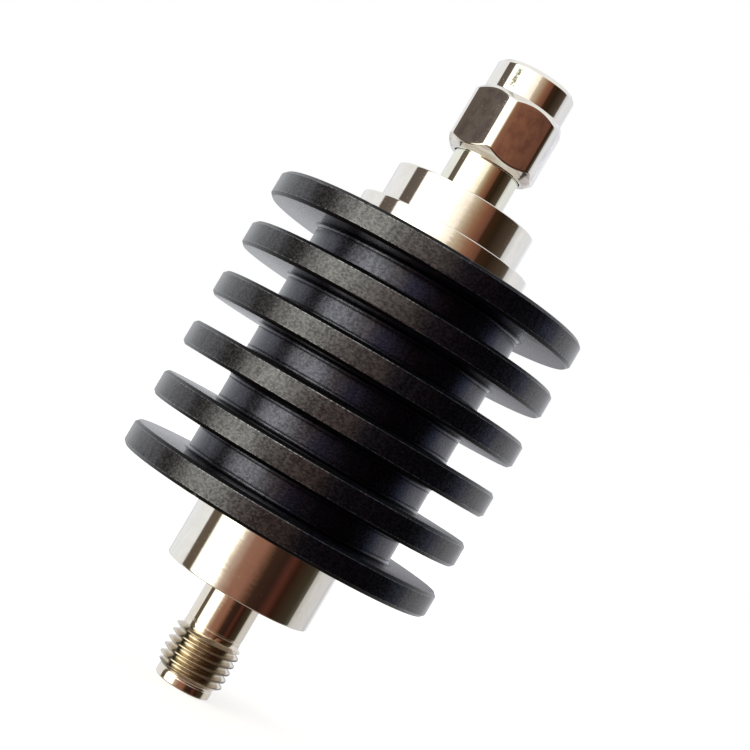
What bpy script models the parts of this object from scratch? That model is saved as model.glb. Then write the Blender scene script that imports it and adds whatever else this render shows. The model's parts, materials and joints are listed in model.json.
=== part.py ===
"""In-line coaxial attenuator with a finned heat sink.

Metres, +Z up. The part stands on the rim of its socket. The origin is the centre of that
rim, and +Z runs along the part's axis to the plug. A Z_ name is a station on that axis.
"""
import math

import bmesh
import bpy

# Clearances between pieces that fit or lie on each other
FIT_GAP = 0.00003
SEAT_GAP = 0.00004
LAYER_GAP = 0.00002

# Heat sink, turned from one bar
FIN_COUNT = 6
FIN_DIAMETER = 0.0300
FIN_THICKNESS = 0.00235
FIN_PITCH = 0.00493
FIN_EDGE_CHAMFER = 0.00030
FIN_ROOT_FILLET = 0.00030
CORE_DIAMETER = 0.0200
SINK_BORE_DIAMETER = 0.0120

# End caps, each with a spigot in the heat sink's bore
SPIGOT_LENGTH = 0.0030
CAP_EDGE_CHAMFER = 0.00012
FEMALE_CAP_SEAT_WIDTH = 0.00090
FEMALE_CAP_DIAMETER = SINK_BORE_DIAMETER + 2 * FEMALE_CAP_SEAT_WIDTH
FEMALE_CAP_LENGTH = 0.0062
FEMALE_CAP_WEB = 0.0030
MALE_COLLAR_DIAMETER = 0.0134
MALE_COLLAR_LENGTH = 0.0036
MALE_STEP_WIDTH = 0.00145
MALE_STEP_DIAMETER = MALE_COLLAR_DIAMETER + 2 * MALE_STEP_WIDTH
MALE_STEP_LENGTH = 0.0023
MALE_CAP_WEB = 0.0030

# Coaxial line that both connectors share
REAR_FLANGE_DIAMETER = 0.0080
INSULATOR_DIAMETER = 0.0041
CONTACT_DIAMETER = 0.00127
AIR_LINE_DIAMETER = 0.00292
BARB_HEIGHT = 0.00020
BARB_LENGTH = 0.00060
BARB_TO_FLANGE = 0.0030
PLUG_SLEEVE_WALL = 0.00024
PLUG_SLEEVE_DIAMETER = INSULATOR_DIAMETER + 2 * PLUG_SLEEVE_WALL
MATING_CLEARANCE = 0.000035

# Socket connector, from its rim upwards
RIM_CHAMFER = 0.00008
SOCKET_BORE_DIAMETER = PLUG_SLEEVE_DIAMETER + 2 * MATING_CLEARANCE
SOCKET_BORE_DEPTH = 0.0019
LEAD_IN_WALL = 0.00030
LEAD_IN_DIAMETER = SOCKET_BORE_DIAMETER + 2 * LEAD_IN_WALL
LEAD_IN_LENGTH = 0.0012
THREAD_WALL = 0.00040
THREAD_ROOT_DIAMETER = SOCKET_BORE_DIAMETER + 2 * THREAD_WALL
THREAD_HEIGHT = 0.00040
THREAD_CREST_DIAMETER = THREAD_ROOT_DIAMETER + 2 * THREAD_HEIGHT
THREAD_PITCH = 0.0007056
THREAD_LENGTH = 0.0039
THREAD_CREST_WIDTH = 0.00016
FEMALE_NECK_WALL = 0.00060
FEMALE_NECK_DIAMETER = INSULATOR_DIAMETER + 2 * FEMALE_NECK_WALL
FEMALE_NECK_LENGTH = 0.0043
FINGER_BORE_DIAMETER = 0.00095
FINGER_BORE_DEPTH = 0.0030
FINGER_SLOT_WIDTH = 0.00016
FINGER_SLOT_LENGTH = 0.0024

# Plug connector
MALE_NECK_DIAMETER = 0.0063
MALE_NECK_SHOWN = 0.0036
PLUG_PLANE_DEPTH = 0.0028
PIN_DIAMETER = 0.00092
PIN_REACH = 0.0024
PIN_POINT_DIAMETER = 0.00036
PIN_POINT_LENGTH = 0.00060
GASKET_WIDTH = 0.00068
GASKET_DIAMETER = PLUG_SLEEVE_DIAMETER + 2 * (FIT_GAP + GASKET_WIDTH)
GASKET_THICKNESS = 0.00060

# Ring that keeps the coupling nut on, half in the neck and half in the nut
RING_STATION = 0.0019
RING_THICKNESS = 0.00050
RING_WIDTH = 0.00060
RING_OPENING = 0.0012
RING_GROOVE_DEPTH = 0.00040
RING_CLEARANCE = 0.00008
RING_SLOT_LENGTH = RING_THICKNESS + 2 * RING_CLEARANCE

# Coupling nut, its bore from the back to the mouth and then its outside
NUT_RUNNING_CLEARANCE = 0.00010
NUT_LIP_LENGTH = 0.00064
NUT_RELIEF_CLEARANCE = 0.00020
NUT_RELIEF_DIAMETER = max(MALE_NECK_DIAMETER, GASKET_DIAMETER) + 2 * NUT_RELIEF_CLEARANCE
NUT_RELIEF_LENGTH = 0.0013
NUT_THREAD_HEIGHT = 0.000225
NUT_BORE_DIAMETER = THREAD_CREST_DIAMETER - 2 * NUT_THREAD_HEIGHT
NUT_BORE_LENGTH = 0.0044
NUT_MOUTH_CHAMFER = 0.00030
NUT_LENGTH = RING_STATION + RING_SLOT_LENGTH + NUT_LIP_LENGTH + NUT_RELIEF_LENGTH + NUT_BORE_LENGTH
NUT_COLLAR_WALL = 0.000885
NUT_COLLAR_DIAMETER = NUT_BORE_DIAMETER + 2 * NUT_COLLAR_WALL
NUT_COLLAR_LENGTH = 0.0028
NUT_CONE_LENGTH = 0.00068
NUT_FRONT_CHAMFER = 0.00040
NUT_FLAT_OVER_COLLAR = 0.000215
NUT_FLAT_OVER_NECK = 0.00085
NUT_ACROSS_FLATS = max(
    NUT_COLLAR_DIAMETER + 2 * NUT_FLAT_OVER_COLLAR, MALE_NECK_DIAMETER + 2 * NUT_FLAT_OVER_NECK
)
NUT_CORNER_HEIGHT = 0.000435
NUT_CORNER_DIAMETER = NUT_ACROSS_FLATS + 2 * NUT_CORNER_HEIGHT
NUT_REAR_WALL = 0.00040
NUT_CORNER_ANGLE = math.radians(258.5)

# The neck ends this far inside the nut's relief, and the sleeve takes the rest up to the plug plane
NECK_IN_RELIEF = 0.00040
PLUG_SLEEVE_LENGTH = NUT_BORE_LENGTH + NUT_RELIEF_LENGTH - NECK_IN_RELIEF - PLUG_PLANE_DEPTH

# Attenuator chip, its layers and what touches them
CHIP_LENGTH = 0.0100
CHIP_WIDTH = 0.0060
CHIP_THICKNESS = 0.0010
LAYER_THICKNESS = 0.00005
TERMINAL_LENGTH = 0.0012
TERMINAL_WIDTH = 0.0016
GROUND_EDGE_WIDTH = 0.00080
FILM_MARGIN = 0.00010
TAB_WIDTH = 0.0010
TAB_THICKNESS = 0.00015
TAB_LAP = 0.0010
TAB_SLOT_DEPTH = 0.0012
CONTACT_TO_CHIP = 0.00040
SPRING_HEIGHT = 0.00045
SPRING_THICKNESS = 0.00010
SPRING_WAVES = 6
SPRING_END_MARGIN = 0.00040
AIR_CHANNEL_HEIGHT = 0.0016

# The most of its wall or gap that an edge's chamfer or fillet may take
EDGE_SHARE = 0.45

# Points of a turned outline that lie closer than this are one point
MERGE_DISTANCE = 0.000001

# Straight edges round a turn, and in a fillet
SINK_STEPS = 48
CAP_STEPS = 40
CONNECTOR_STEPS = 36
CONTACT_STEPS = 20
FILLET_STEPS = 2
SPRING_STEPS_PER_WAVE = 6

# Stations on the axis
Z_LEAD_IN_TOP = LEAD_IN_LENGTH
Z_THREAD_TOP = Z_LEAD_IN_TOP + THREAD_LENGTH
Z_FEMALE_CAP = Z_THREAD_TOP + FEMALE_NECK_LENGTH
Z_SINK = Z_FEMALE_CAP + FEMALE_CAP_LENGTH
Z_SINK_TOP = Z_SINK + (FIN_COUNT - 1) * FIN_PITCH + FIN_THICKNESS
Z_STEP_TOP = Z_SINK_TOP + MALE_STEP_LENGTH
Z_COLLAR_TOP = Z_STEP_TOP + MALE_COLLAR_LENGTH
Z_NUT = Z_COLLAR_TOP + MALE_NECK_SHOWN
Z_NUT_TOP = Z_NUT + NUT_LENGTH
Z_PLUG_PLANE = Z_NUT_TOP - PLUG_PLANE_DEPTH
Z_SHOULDER = Z_PLUG_PLANE - PLUG_SLEEVE_LENGTH
Z_LOWER_INNER = Z_SINK + SPIGOT_LENGTH
Z_UPPER_INNER = Z_SINK_TOP - SPIGOT_LENGTH
Z_CHIP_MIDDLE = (Z_SINK + Z_SINK_TOP) / 2
Z_CHIP = Z_CHIP_MIDDLE - CHIP_LENGTH / 2
Z_CHIP_TOP = Z_CHIP_MIDDLE + CHIP_LENGTH / 2

# Levels across the axis, from the contact tabs down to the chip's back
Y_TERMINAL_TOP = -TAB_THICKNESS / 2 - LAYER_GAP
Y_CHIP_FACE = Y_TERMINAL_TOP - LAYER_THICKNESS - LAYER_GAP
Y_CHIP_BACK = Y_CHIP_FACE - CHIP_THICKNESS

# Colour, roughness and metallic value of each material
MATERIALS = {
    "black_anodised": ((0.018, 0.019, 0.021, 1.0), 0.48, 0.55),
    "nickel": ((0.78, 0.74, 0.68, 1.0), 0.16, 1.0),
    "gold": ((0.83, 0.62, 0.26, 1.0), 0.22, 1.0),
    "fluoroplastic": ((0.88, 0.87, 0.83, 1.0), 0.45, 0.0),
    "silicone": ((0.55, 0.16, 0.10, 1.0), 0.60, 0.0),
    "spring_bronze": ((0.62, 0.42, 0.22, 1.0), 0.28, 1.0),
    "aluminium": ((0.72, 0.73, 0.74, 1.0), 0.32, 1.0),
    "ceramic": ((0.84, 0.83, 0.80, 1.0), 0.55, 0.0),
    "resistor": ((0.10, 0.12, 0.11, 1.0), 0.50, 0.0),
    "silver": ((0.80, 0.79, 0.76, 1.0), 0.30, 1.0),
}


def clear_scene():
    """Empty the scene of objects."""
    for piece in list(bpy.data.objects):
        bpy.data.objects.remove(piece, do_unlink=True)


def new_collection(name):
    """Add a collection to the scene."""
    collection = bpy.data.collections.new(name)
    bpy.context.scene.collection.children.link(collection)
    return collection


def make_materials():
    """Make one Principled material for each entry of MATERIALS."""
    made = {}
    for name, (colour, roughness, metallic) in MATERIALS.items():
        material = bpy.data.materials.new(name)
        material.use_nodes = True
        shader = material.node_tree.nodes["Principled BSDF"]
        shader.inputs["Base Color"].default_value = colour
        shader.inputs["Roughness"].default_value = roughness
        shader.inputs["Metallic"].default_value = metallic
        material.diffuse_color = colour
        made[name] = material
    return made


class Bench:
    """The collections, the shared empty and the materials that every piece uses."""

    def __init__(self):
        self.parts = new_collection("rf_attenuator")
        self.cutters = new_collection("cutters")
        self.materials = make_materials()
        self.axis = bpy.data.objects.new("attenuator_axis", None)
        self.parts.objects.link(self.axis)

    def add(self, name, mesh, z):
        """Put a mesh on the axis at station z as a part of its own."""
        piece = bpy.data.objects.new(name, mesh)
        self.parts.objects.link(piece)
        piece.parent = self.axis
        piece.location.z = z
        return piece

    def add_cutter(self, name, mesh, z):
        """Put a mesh on the axis at station z as a cutter."""
        cutter = bpy.data.objects.new(name, mesh)
        self.cutters.objects.link(cutter)
        cutter.location.z = z
        cutter.hide_render = True
        cutter.display_type = "WIRE"
        return cutter

    def finish(self, piece, material, sharp_degrees=30.0):
        """Keep the piece's evaluated mesh, give it its material and shade it smooth."""
        graph = bpy.context.evaluated_depsgraph_get()
        mesh = bpy.data.meshes.new_from_object(piece.evaluated_get(graph))
        piece.modifiers.clear()
        piece.data = mesh
        mesh.name = piece.name
        mesh.materials.clear()
        mesh.materials.append(self.materials[material])
        mesh.shade_smooth()
        mesh.set_sharp_from_angle(angle=math.radians(sharp_degrees))
        return piece


def outline_mesh(name, outline, z, closed):
    """A line of edges in the XZ plane through the (radius, station) points of an outline."""
    edges = [(index, index + 1) for index in range(len(outline) - 1)]
    if closed:
        edges.append((len(outline) - 1, 0))
    mesh = bpy.data.meshes.new(name)
    mesh.from_pydata([(radius, 0.0, station - z) for radius, station in outline], edges, [])
    return mesh


def turn(piece, steps):
    """Turn the piece's outline once round the axis."""
    screw = piece.modifiers.new("turn", "SCREW")
    screw.axis = "Z"
    screw.angle = math.tau
    screw.steps = steps
    screw.render_steps = steps
    screw.use_merge_vertices = True
    screw.merge_threshold = MERGE_DISTANCE


def turned(bench, name, outline, z, steps):
    """A turned piece. Its outline runs down the outside, then up the bore or the axis."""
    has_bore = min(radius for radius, _ in outline) > 0.0
    piece = bench.add(name, outline_mesh(name, outline, z, closed=has_bore), z)
    turn(piece, steps)
    return piece


def block_mesh(name, low, high):
    """A box between two corners."""
    mesh = bpy.data.meshes.new(name)
    block = bmesh.new()
    bmesh.ops.create_cube(block, size=1.0)
    for vertex in block.verts:
        vertex.co = [a + (b - a) * (c + 0.5) for a, b, c in zip(low, high, vertex.co)]
    block.to_mesh(mesh)
    block.free()
    return mesh


def rod_mesh(name, diameter, length, steps, angle=0.0):
    """An upright prism from z = 0, with its corners on the diameter, the first one at the angle."""
    mesh = bpy.data.meshes.new(name)
    rod = bmesh.new()
    bmesh.ops.create_cone(
        rod, cap_ends=True, segments=steps, radius1=diameter / 2, radius2=diameter / 2, depth=length
    )
    bmesh.ops.translate(rod, verts=rod.verts, vec=(0.0, 0.0, length / 2))
    first = max(rod.verts, key=lambda vertex: vertex.co.y)
    start = math.atan2(first.co.y, first.co.x)
    for vertex in rod.verts:
        x, y = vertex.co.x, vertex.co.y
        turn_by = angle - start
        vertex.co.x = x * math.cos(turn_by) - y * math.sin(turn_by)
        vertex.co.y = x * math.sin(turn_by) + y * math.cos(turn_by)
    rod.to_mesh(mesh)
    rod.free()
    return mesh


def cut(piece, cutter, operation="DIFFERENCE"):
    """Cut the piece with the cutter, or keep what the two share."""
    boolean = piece.modifiers.new(cutter.name, "BOOLEAN")
    boolean.operation = operation
    boolean.solver = "EXACT"
    boolean.object = cutter


def fillet(corner_radius, corner_z, radius, upward):
    """The round between a fin's face and the core, as (radius, station) points.

    The centre lies one fillet radius out from the core and one away from the fin's face.
    Going down the outline, an upward fillet runs from the fin above in to the core, and
    the other runs from the core out to the fin below.
    """
    side = -1.0 if upward else 1.0
    centre_r = corner_radius + radius
    centre_z = corner_z + side * radius
    points = []
    for step in range(FILLET_STEPS + 1):
        share = step / FILLET_STEPS
        angle = share if upward else 1.0 - share
        turn_by = angle * math.pi / 2
        points.append((centre_r - radius * math.sin(turn_by), centre_z - side * radius * math.cos(turn_by)))
    return points


def sink_outline():
    """Down the six fins and the core between them, then up the bore."""
    fin_r = FIN_DIAMETER / 2
    core_r = CORE_DIAMETER / 2
    bore_r = SINK_BORE_DIAMETER / 2
    chamfer = min(FIN_EDGE_CHAMFER, EDGE_SHARE * FIN_THICKNESS)
    gap = FIN_PITCH - FIN_THICKNESS
    root = min(FIN_ROOT_FILLET, EDGE_SHARE * gap)
    outline = []
    for number in reversed(range(FIN_COUNT)):
        foot = Z_SINK + number * FIN_PITCH
        head = foot + FIN_THICKNESS
        if number < FIN_COUNT - 1:
            outline += fillet(core_r, head, root, upward=False)
        outline += [
            (fin_r - chamfer, head),
            (fin_r, head - chamfer),
            (fin_r, foot + chamfer),
            (fin_r - chamfer, foot),
        ]
        if number > 0:
            outline += fillet(core_r, foot, root, upward=True)
    return outline + [(bore_r, Z_SINK), (bore_r, Z_SINK_TOP)]


def make_heat_sink(bench):
    """Finned heat sink with a plain bore through it."""
    sink = turned(bench, "heat_sink", sink_outline(), Z_SINK, SINK_STEPS)
    bench.finish(sink, "black_anodised")


def make_female_end_cap(bench):
    """Plain round cap. Its web holds the neck, and its counterbore takes the rear flange."""
    cap_r = FEMALE_CAP_DIAMETER / 2
    spigot_r = SINK_BORE_DIAMETER / 2 - FIT_GAP
    neck_r = FEMALE_NECK_DIAMETER / 2 + FIT_GAP
    flange_r = REAR_FLANGE_DIAMETER / 2 + FIT_GAP
    outline = [
        (spigot_r, Z_LOWER_INNER),
        (spigot_r, Z_SINK - SEAT_GAP),
        (cap_r - CAP_EDGE_CHAMFER, Z_SINK - SEAT_GAP),
        (cap_r, Z_SINK - SEAT_GAP - CAP_EDGE_CHAMFER),
        (cap_r, Z_FEMALE_CAP + CAP_EDGE_CHAMFER),
        (cap_r - CAP_EDGE_CHAMFER, Z_FEMALE_CAP),
        (neck_r, Z_FEMALE_CAP),
        (neck_r, Z_FEMALE_CAP + FEMALE_CAP_WEB),
        (flange_r, Z_FEMALE_CAP + FEMALE_CAP_WEB),
        (flange_r, Z_LOWER_INNER),
    ]
    cap = turned(bench, "female_end_cap", outline, Z_FEMALE_CAP, CAP_STEPS)
    bench.finish(cap, "nickel")


def make_male_end_cap(bench):
    """Stepped round cap. Its step bears on the heat sink's top."""
    collar_r = MALE_COLLAR_DIAMETER / 2
    step_r = MALE_STEP_DIAMETER / 2
    spigot_r = SINK_BORE_DIAMETER / 2 - FIT_GAP
    neck_r = MALE_NECK_DIAMETER / 2 + FIT_GAP
    flange_r = REAR_FLANGE_DIAMETER / 2 + FIT_GAP
    outline = [
        (collar_r - CAP_EDGE_CHAMFER, Z_COLLAR_TOP),
        (collar_r, Z_COLLAR_TOP - CAP_EDGE_CHAMFER),
        (collar_r, Z_STEP_TOP),
        (step_r - CAP_EDGE_CHAMFER, Z_STEP_TOP),
        (step_r, Z_STEP_TOP - CAP_EDGE_CHAMFER),
        (step_r, Z_SINK_TOP + SEAT_GAP),
        (spigot_r, Z_SINK_TOP + SEAT_GAP),
        (spigot_r, Z_UPPER_INNER),
        (flange_r, Z_UPPER_INNER),
        (flange_r, Z_COLLAR_TOP - MALE_CAP_WEB),
        (neck_r, Z_COLLAR_TOP - MALE_CAP_WEB),
        (neck_r, Z_COLLAR_TOP),
    ]
    cap = turned(bench, "male_end_cap", outline, Z_UPPER_INNER, CAP_STEPS)
    bench.finish(cap, "nickel")


def thread_outline():
    """Down the socket's thread: its crests and roots at the thread's pitch.

    The rings stand for the helix, which is a finish of the surface.
    """
    crest_r = THREAD_CREST_DIAMETER / 2
    root_r = THREAD_ROOT_DIAMETER / 2
    turns = int(THREAD_LENGTH / THREAD_PITCH)
    first = Z_THREAD_TOP - (THREAD_LENGTH - turns * THREAD_PITCH) / 2
    outline = [(root_r, first)]
    for number in range(turns):
        middle = first - (number + 0.5) * THREAD_PITCH
        outline += [
            (crest_r, middle + THREAD_CREST_WIDTH / 2),
            (crest_r, middle - THREAD_CREST_WIDTH / 2),
            (root_r, middle - THREAD_PITCH / 2),
        ]
    return outline


def make_female_connector_body(bench):
    """Outer conductor of the socket: rear flange, neck, thread, lead-in and bore."""
    flange_r = REAR_FLANGE_DIAMETER / 2
    neck_r = FEMALE_NECK_DIAMETER / 2
    lead_r = LEAD_IN_DIAMETER / 2
    mouth_r = SOCKET_BORE_DIAMETER / 2
    bore_r = INSULATOR_DIAMETER / 2
    z_flange = Z_FEMALE_CAP + FEMALE_CAP_WEB + SEAT_GAP
    outline = [
        (flange_r, Z_LOWER_INNER),
        (flange_r, z_flange),
        (neck_r, z_flange),
        (neck_r, Z_THREAD_TOP),
    ]
    outline += thread_outline()
    outline += [
        (lead_r, Z_LEAD_IN_TOP),
        (lead_r, RIM_CHAMFER),
        (lead_r - RIM_CHAMFER, 0.0),
        (mouth_r + RIM_CHAMFER, 0.0),
        (mouth_r, RIM_CHAMFER),
        (mouth_r, SOCKET_BORE_DEPTH),
        (bore_r, SOCKET_BORE_DEPTH),
        (bore_r, Z_LOWER_INNER),
    ]
    body = turned(bench, "female_connector_body", outline, 0.0, CONNECTOR_STEPS)
    bench.finish(body, "nickel")


def make_male_connector_body(bench):
    """Outer conductor of the plug: rear flange, neck with its ring groove, and sleeve."""
    flange_r = REAR_FLANGE_DIAMETER / 2
    neck_r = MALE_NECK_DIAMETER / 2
    groove_r = neck_r - RING_GROOVE_DEPTH
    sleeve_r = PLUG_SLEEVE_DIAMETER / 2
    bore_r = INSULATOR_DIAMETER / 2
    z_flange = Z_COLLAR_TOP - MALE_CAP_WEB - SEAT_GAP
    z_groove = Z_NUT + RING_STATION
    z_groove_top = z_groove + RING_SLOT_LENGTH
    outline = [
        (bore_r, Z_PLUG_PLANE),
        (sleeve_r - RIM_CHAMFER, Z_PLUG_PLANE),
        (sleeve_r, Z_PLUG_PLANE - RIM_CHAMFER),
        (sleeve_r, Z_SHOULDER),
        (neck_r, Z_SHOULDER),
        (neck_r, z_groove_top),
        (groove_r, z_groove_top),
        (groove_r, z_groove),
        (neck_r, z_groove),
        (neck_r, z_flange),
        (flange_r, z_flange),
        (flange_r, Z_UPPER_INNER),
        (bore_r, Z_UPPER_INNER),
    ]
    body = turned(bench, "male_connector_body", outline, Z_UPPER_INNER, CONNECTOR_STEPS)
    bench.finish(body, "nickel")


def make_coupling_nut(bench):
    """Coupling nut: a turned blank with its bore, milled to a hexagon behind the collar."""
    collar_r = NUT_COLLAR_DIAMETER / 2
    corner_r = NUT_CORNER_DIAMETER / 2
    thread_r = NUT_BORE_DIAMETER / 2
    relief_r = NUT_RELIEF_DIAMETER / 2
    lip_r = MALE_NECK_DIAMETER / 2 + NUT_RUNNING_CLEARANCE
    rear_r = lip_r + NUT_REAR_WALL
    ring_r = MALE_NECK_DIAMETER / 2 - RING_GROOVE_DEPTH + RING_CLEARANCE + RING_WIDTH + RING_CLEARANCE
    z_cone_top = Z_NUT_TOP - NUT_COLLAR_LENGTH
    z_cone = z_cone_top - NUT_CONE_LENGTH
    z_rear_cone = Z_NUT + corner_r - rear_r
    z_bore = Z_NUT_TOP - NUT_BORE_LENGTH
    z_relief = z_bore - NUT_RELIEF_LENGTH
    z_groove = Z_NUT + RING_STATION
    z_groove_top = z_groove + RING_SLOT_LENGTH
    outline = [
        (collar_r - NUT_FRONT_CHAMFER, Z_NUT_TOP),
        (collar_r, Z_NUT_TOP - NUT_FRONT_CHAMFER),
        (collar_r, z_cone_top),
        (corner_r, z_cone),
        (corner_r, z_rear_cone),
        (rear_r, Z_NUT),
        (lip_r, Z_NUT),
        (lip_r, z_groove),
        (ring_r, z_groove),
        (ring_r, z_groove_top),
        (lip_r, z_groove_top),
        (lip_r, z_relief),
        (relief_r, z_relief),
        (relief_r, z_bore),
        (thread_r, z_bore),
        (thread_r, Z_NUT_TOP - NUT_MOUTH_CHAMFER),
        (thread_r + NUT_MOUTH_CHAMFER, Z_NUT_TOP),
    ]
    nut = turned(bench, "coupling_nut", outline, Z_NUT, CAP_STEPS)
    hexagon = rod_mesh(
        "nut_hexagon", NUT_ACROSS_FLATS / math.cos(math.pi / 6), 2 * NUT_LENGTH, 6, NUT_CORNER_ANGLE
    )
    cut(nut, bench.add_cutter("nut_hexagon", hexagon, Z_NUT - NUT_LENGTH / 2), "INTERSECT")
    bench.finish(nut, "nickel", sharp_degrees=20.0)


def make_nut_retaining_ring(bench):
    """Split ring, half in the neck's groove and half in the nut's."""
    inner_r = MALE_NECK_DIAMETER / 2 - RING_GROOVE_DEPTH + RING_CLEARANCE
    outer_r = inner_r + RING_WIDTH
    z_ring = Z_NUT + RING_STATION + RING_CLEARANCE
    z_top = z_ring + RING_THICKNESS
    outline = [(outer_r, z_top), (outer_r, z_ring), (inner_r, z_ring), (inner_r, z_top)]
    ring = turned(bench, "nut_retaining_ring", outline, z_ring, CONNECTOR_STEPS)
    half = RING_OPENING / 2
    low = (-half, 0.0, -RING_THICKNESS)
    high = (half, 2 * outer_r, 2 * RING_THICKNESS)
    cut(ring, bench.add_cutter("ring_opening", block_mesh("ring_opening", low, high), z_ring))
    bench.finish(ring, "spring_bronze")


def make_nut_gasket(bench):
    """Rubber ring round the foot of the plug's sleeve."""
    inner_r = PLUG_SLEEVE_DIAMETER / 2 + FIT_GAP
    outer_r = GASKET_DIAMETER / 2
    z_low = Z_SHOULDER + SEAT_GAP
    z_high = z_low + GASKET_THICKNESS
    outline = [(outer_r, z_high), (outer_r, z_low), (inner_r, z_low), (inner_r, z_high)]
    bench.finish(turned(bench, "nut_gasket", outline, z_low, CONNECTOR_STEPS), "silicone")


def make_insulator(bench, name, z_low, z_high, z_barb):
    """Bush between a contact and its outer conductor, with a groove for the contact's barb."""
    outer_r = INSULATOR_DIAMETER / 2 - FIT_GAP
    bore_r = CONTACT_DIAMETER / 2 + FIT_GAP
    half = BARB_LENGTH / 2 + FIT_GAP
    outline = [
        (outer_r, z_high),
        (outer_r, z_low),
        (bore_r, z_low),
        (bore_r, z_barb - half),
        (bore_r + BARB_HEIGHT, z_barb - half),
        (bore_r + BARB_HEIGHT, z_barb + half),
        (bore_r, z_barb + half),
        (bore_r, z_high),
    ]
    bench.finish(turned(bench, name, outline, z_low, CONTACT_STEPS), "fluoroplastic")


def barb(z_barb):
    """Down the ring on a contact that keeps it in its bush."""
    contact_r = CONTACT_DIAMETER / 2
    half = BARB_LENGTH / 2
    return [
        (contact_r, z_barb + half),
        (contact_r + BARB_HEIGHT, z_barb + half),
        (contact_r + BARB_HEIGHT, z_barb - half),
        (contact_r, z_barb - half),
    ]


def cut_tab_slot(bench, contact, z_end, direction):
    """Saw the slot for a contact tab into the contact's inner end."""
    half = TAB_THICKNESS / 2 + LAYER_GAP
    ends = sorted((-direction * TAB_SLOT_DEPTH, direction * TAB_SLOT_DEPTH))
    low = (-CONTACT_DIAMETER, -half, ends[0])
    high = (CONTACT_DIAMETER, half, ends[1])
    name = contact.name + "_slot"
    cut(contact, bench.add_cutter(name, block_mesh(name, low, high), z_end))


def make_male_contact(bench):
    """Plug pin and the bush round it."""
    z_barb = Z_UPPER_INNER + BARB_TO_FLANGE
    z_end = Z_CHIP_TOP + CONTACT_TO_CHIP
    z_point = Z_PLUG_PLANE + PIN_REACH
    pin_r = PIN_DIAMETER / 2
    contact_r = CONTACT_DIAMETER / 2
    make_insulator(bench, "male_insulator", Z_UPPER_INNER, Z_PLUG_PLANE, z_barb)
    outline = [
        (0.0, z_point),
        (PIN_POINT_DIAMETER / 2, z_point),
        (pin_r, z_point - PIN_POINT_LENGTH),
        (pin_r, Z_PLUG_PLANE),
        (contact_r, Z_PLUG_PLANE),
    ]
    outline += barb(z_barb) + [(contact_r, z_end), (0.0, z_end)]
    pin = turned(bench, "male_centre_pin", outline, z_end, CONTACT_STEPS)
    cut_tab_slot(bench, pin, z_end, 1)
    bench.finish(pin, "gold")


def make_female_contact(bench):
    """Socket contact with four spring fingers, and the bush round it."""
    z_barb = Z_LOWER_INNER - BARB_TO_FLANGE
    z_end = Z_CHIP - CONTACT_TO_CHIP
    z_mouth = SOCKET_BORE_DEPTH
    finger_r = FINGER_BORE_DIAMETER / 2
    contact_r = CONTACT_DIAMETER / 2
    make_insulator(bench, "female_insulator", SOCKET_BORE_DEPTH, Z_LOWER_INNER, z_barb)
    outline = [(0.0, z_end), (contact_r, z_end)] + barb(z_barb)
    outline += [
        (contact_r, z_mouth),
        (finger_r, z_mouth),
        (finger_r, z_mouth + FINGER_BORE_DEPTH),
        (0.0, z_mouth + FINGER_BORE_DEPTH),
    ]
    socket = turned(bench, "female_centre_socket", outline, z_mouth, CONTACT_STEPS)
    half = FINGER_SLOT_WIDTH / 2
    reach = CONTACT_DIAMETER
    for name, wide_x, wide_y in (("finger_slot_x", reach, half), ("finger_slot_y", half, reach)):
        low = (-wide_x, -wide_y, -FINGER_SLOT_LENGTH)
        high = (wide_x, wide_y, FINGER_SLOT_LENGTH)
        cut(socket, bench.add_cutter(name, block_mesh(name, low, high), z_mouth))
    cut_tab_slot(bench, socket, z_end, -1)
    bench.finish(socket, "gold")


def make_tab(bench, name, z_contact_end, z_chip_end, direction):
    """Thin strip from a contact's slot to over the chip's terminal."""
    z_in_slot = z_contact_end + direction * (TAB_SLOT_DEPTH - SEAT_GAP)
    z_on_chip = z_chip_end - direction * TAB_LAP
    z_low, z_high = sorted((z_in_slot, z_on_chip))
    half = TAB_THICKNESS / 2
    mesh = block_mesh(name, (-TAB_WIDTH / 2, -half, 0.0), (TAB_WIDTH / 2, half, z_high - z_low))
    bench.finish(bench.add(name, mesh, z_low), "gold")


def make_layer(bench, name, x_span, z_span, material):
    """A printed layer on the chip's face."""
    low = (x_span[0], Y_TERMINAL_TOP - LAYER_THICKNESS, 0.0)
    high = (x_span[1], Y_TERMINAL_TOP, z_span[1] - z_span[0])
    bench.finish(bench.add(name, block_mesh(name, low, high), z_span[0]), material)


def make_chip(bench):
    """Ceramic plate with its film, end terminals and ground edges."""
    half = CHIP_WIDTH / 2
    inner = half - GROUND_EDGE_WIDTH
    low = (-half, Y_CHIP_BACK, 0.0)
    high = (half, Y_CHIP_FACE, CHIP_LENGTH)
    bench.finish(bench.add("attenuator_chip", block_mesh("attenuator_chip", low, high), Z_CHIP), "ceramic")
    terminal = (-TERMINAL_WIDTH / 2, TERMINAL_WIDTH / 2)
    make_layer(bench, "female_end_terminal", terminal, (Z_CHIP, Z_CHIP + TERMINAL_LENGTH), "silver")
    make_layer(bench, "male_end_terminal", terminal, (Z_CHIP_TOP - TERMINAL_LENGTH, Z_CHIP_TOP), "silver")
    make_layer(bench, "ground_edge_left", (-half, -inner), (Z_CHIP, Z_CHIP_TOP), "silver")
    make_layer(bench, "ground_edge_right", (inner, half), (Z_CHIP, Z_CHIP_TOP), "silver")
    film_x = inner - FILM_MARGIN
    film_z = (Z_CHIP + TERMINAL_LENGTH + FILM_MARGIN, Z_CHIP_TOP - TERMINAL_LENGTH - FILM_MARGIN)
    make_layer(bench, "resistor_film", (-film_x, film_x), film_z, "resistor")


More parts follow.
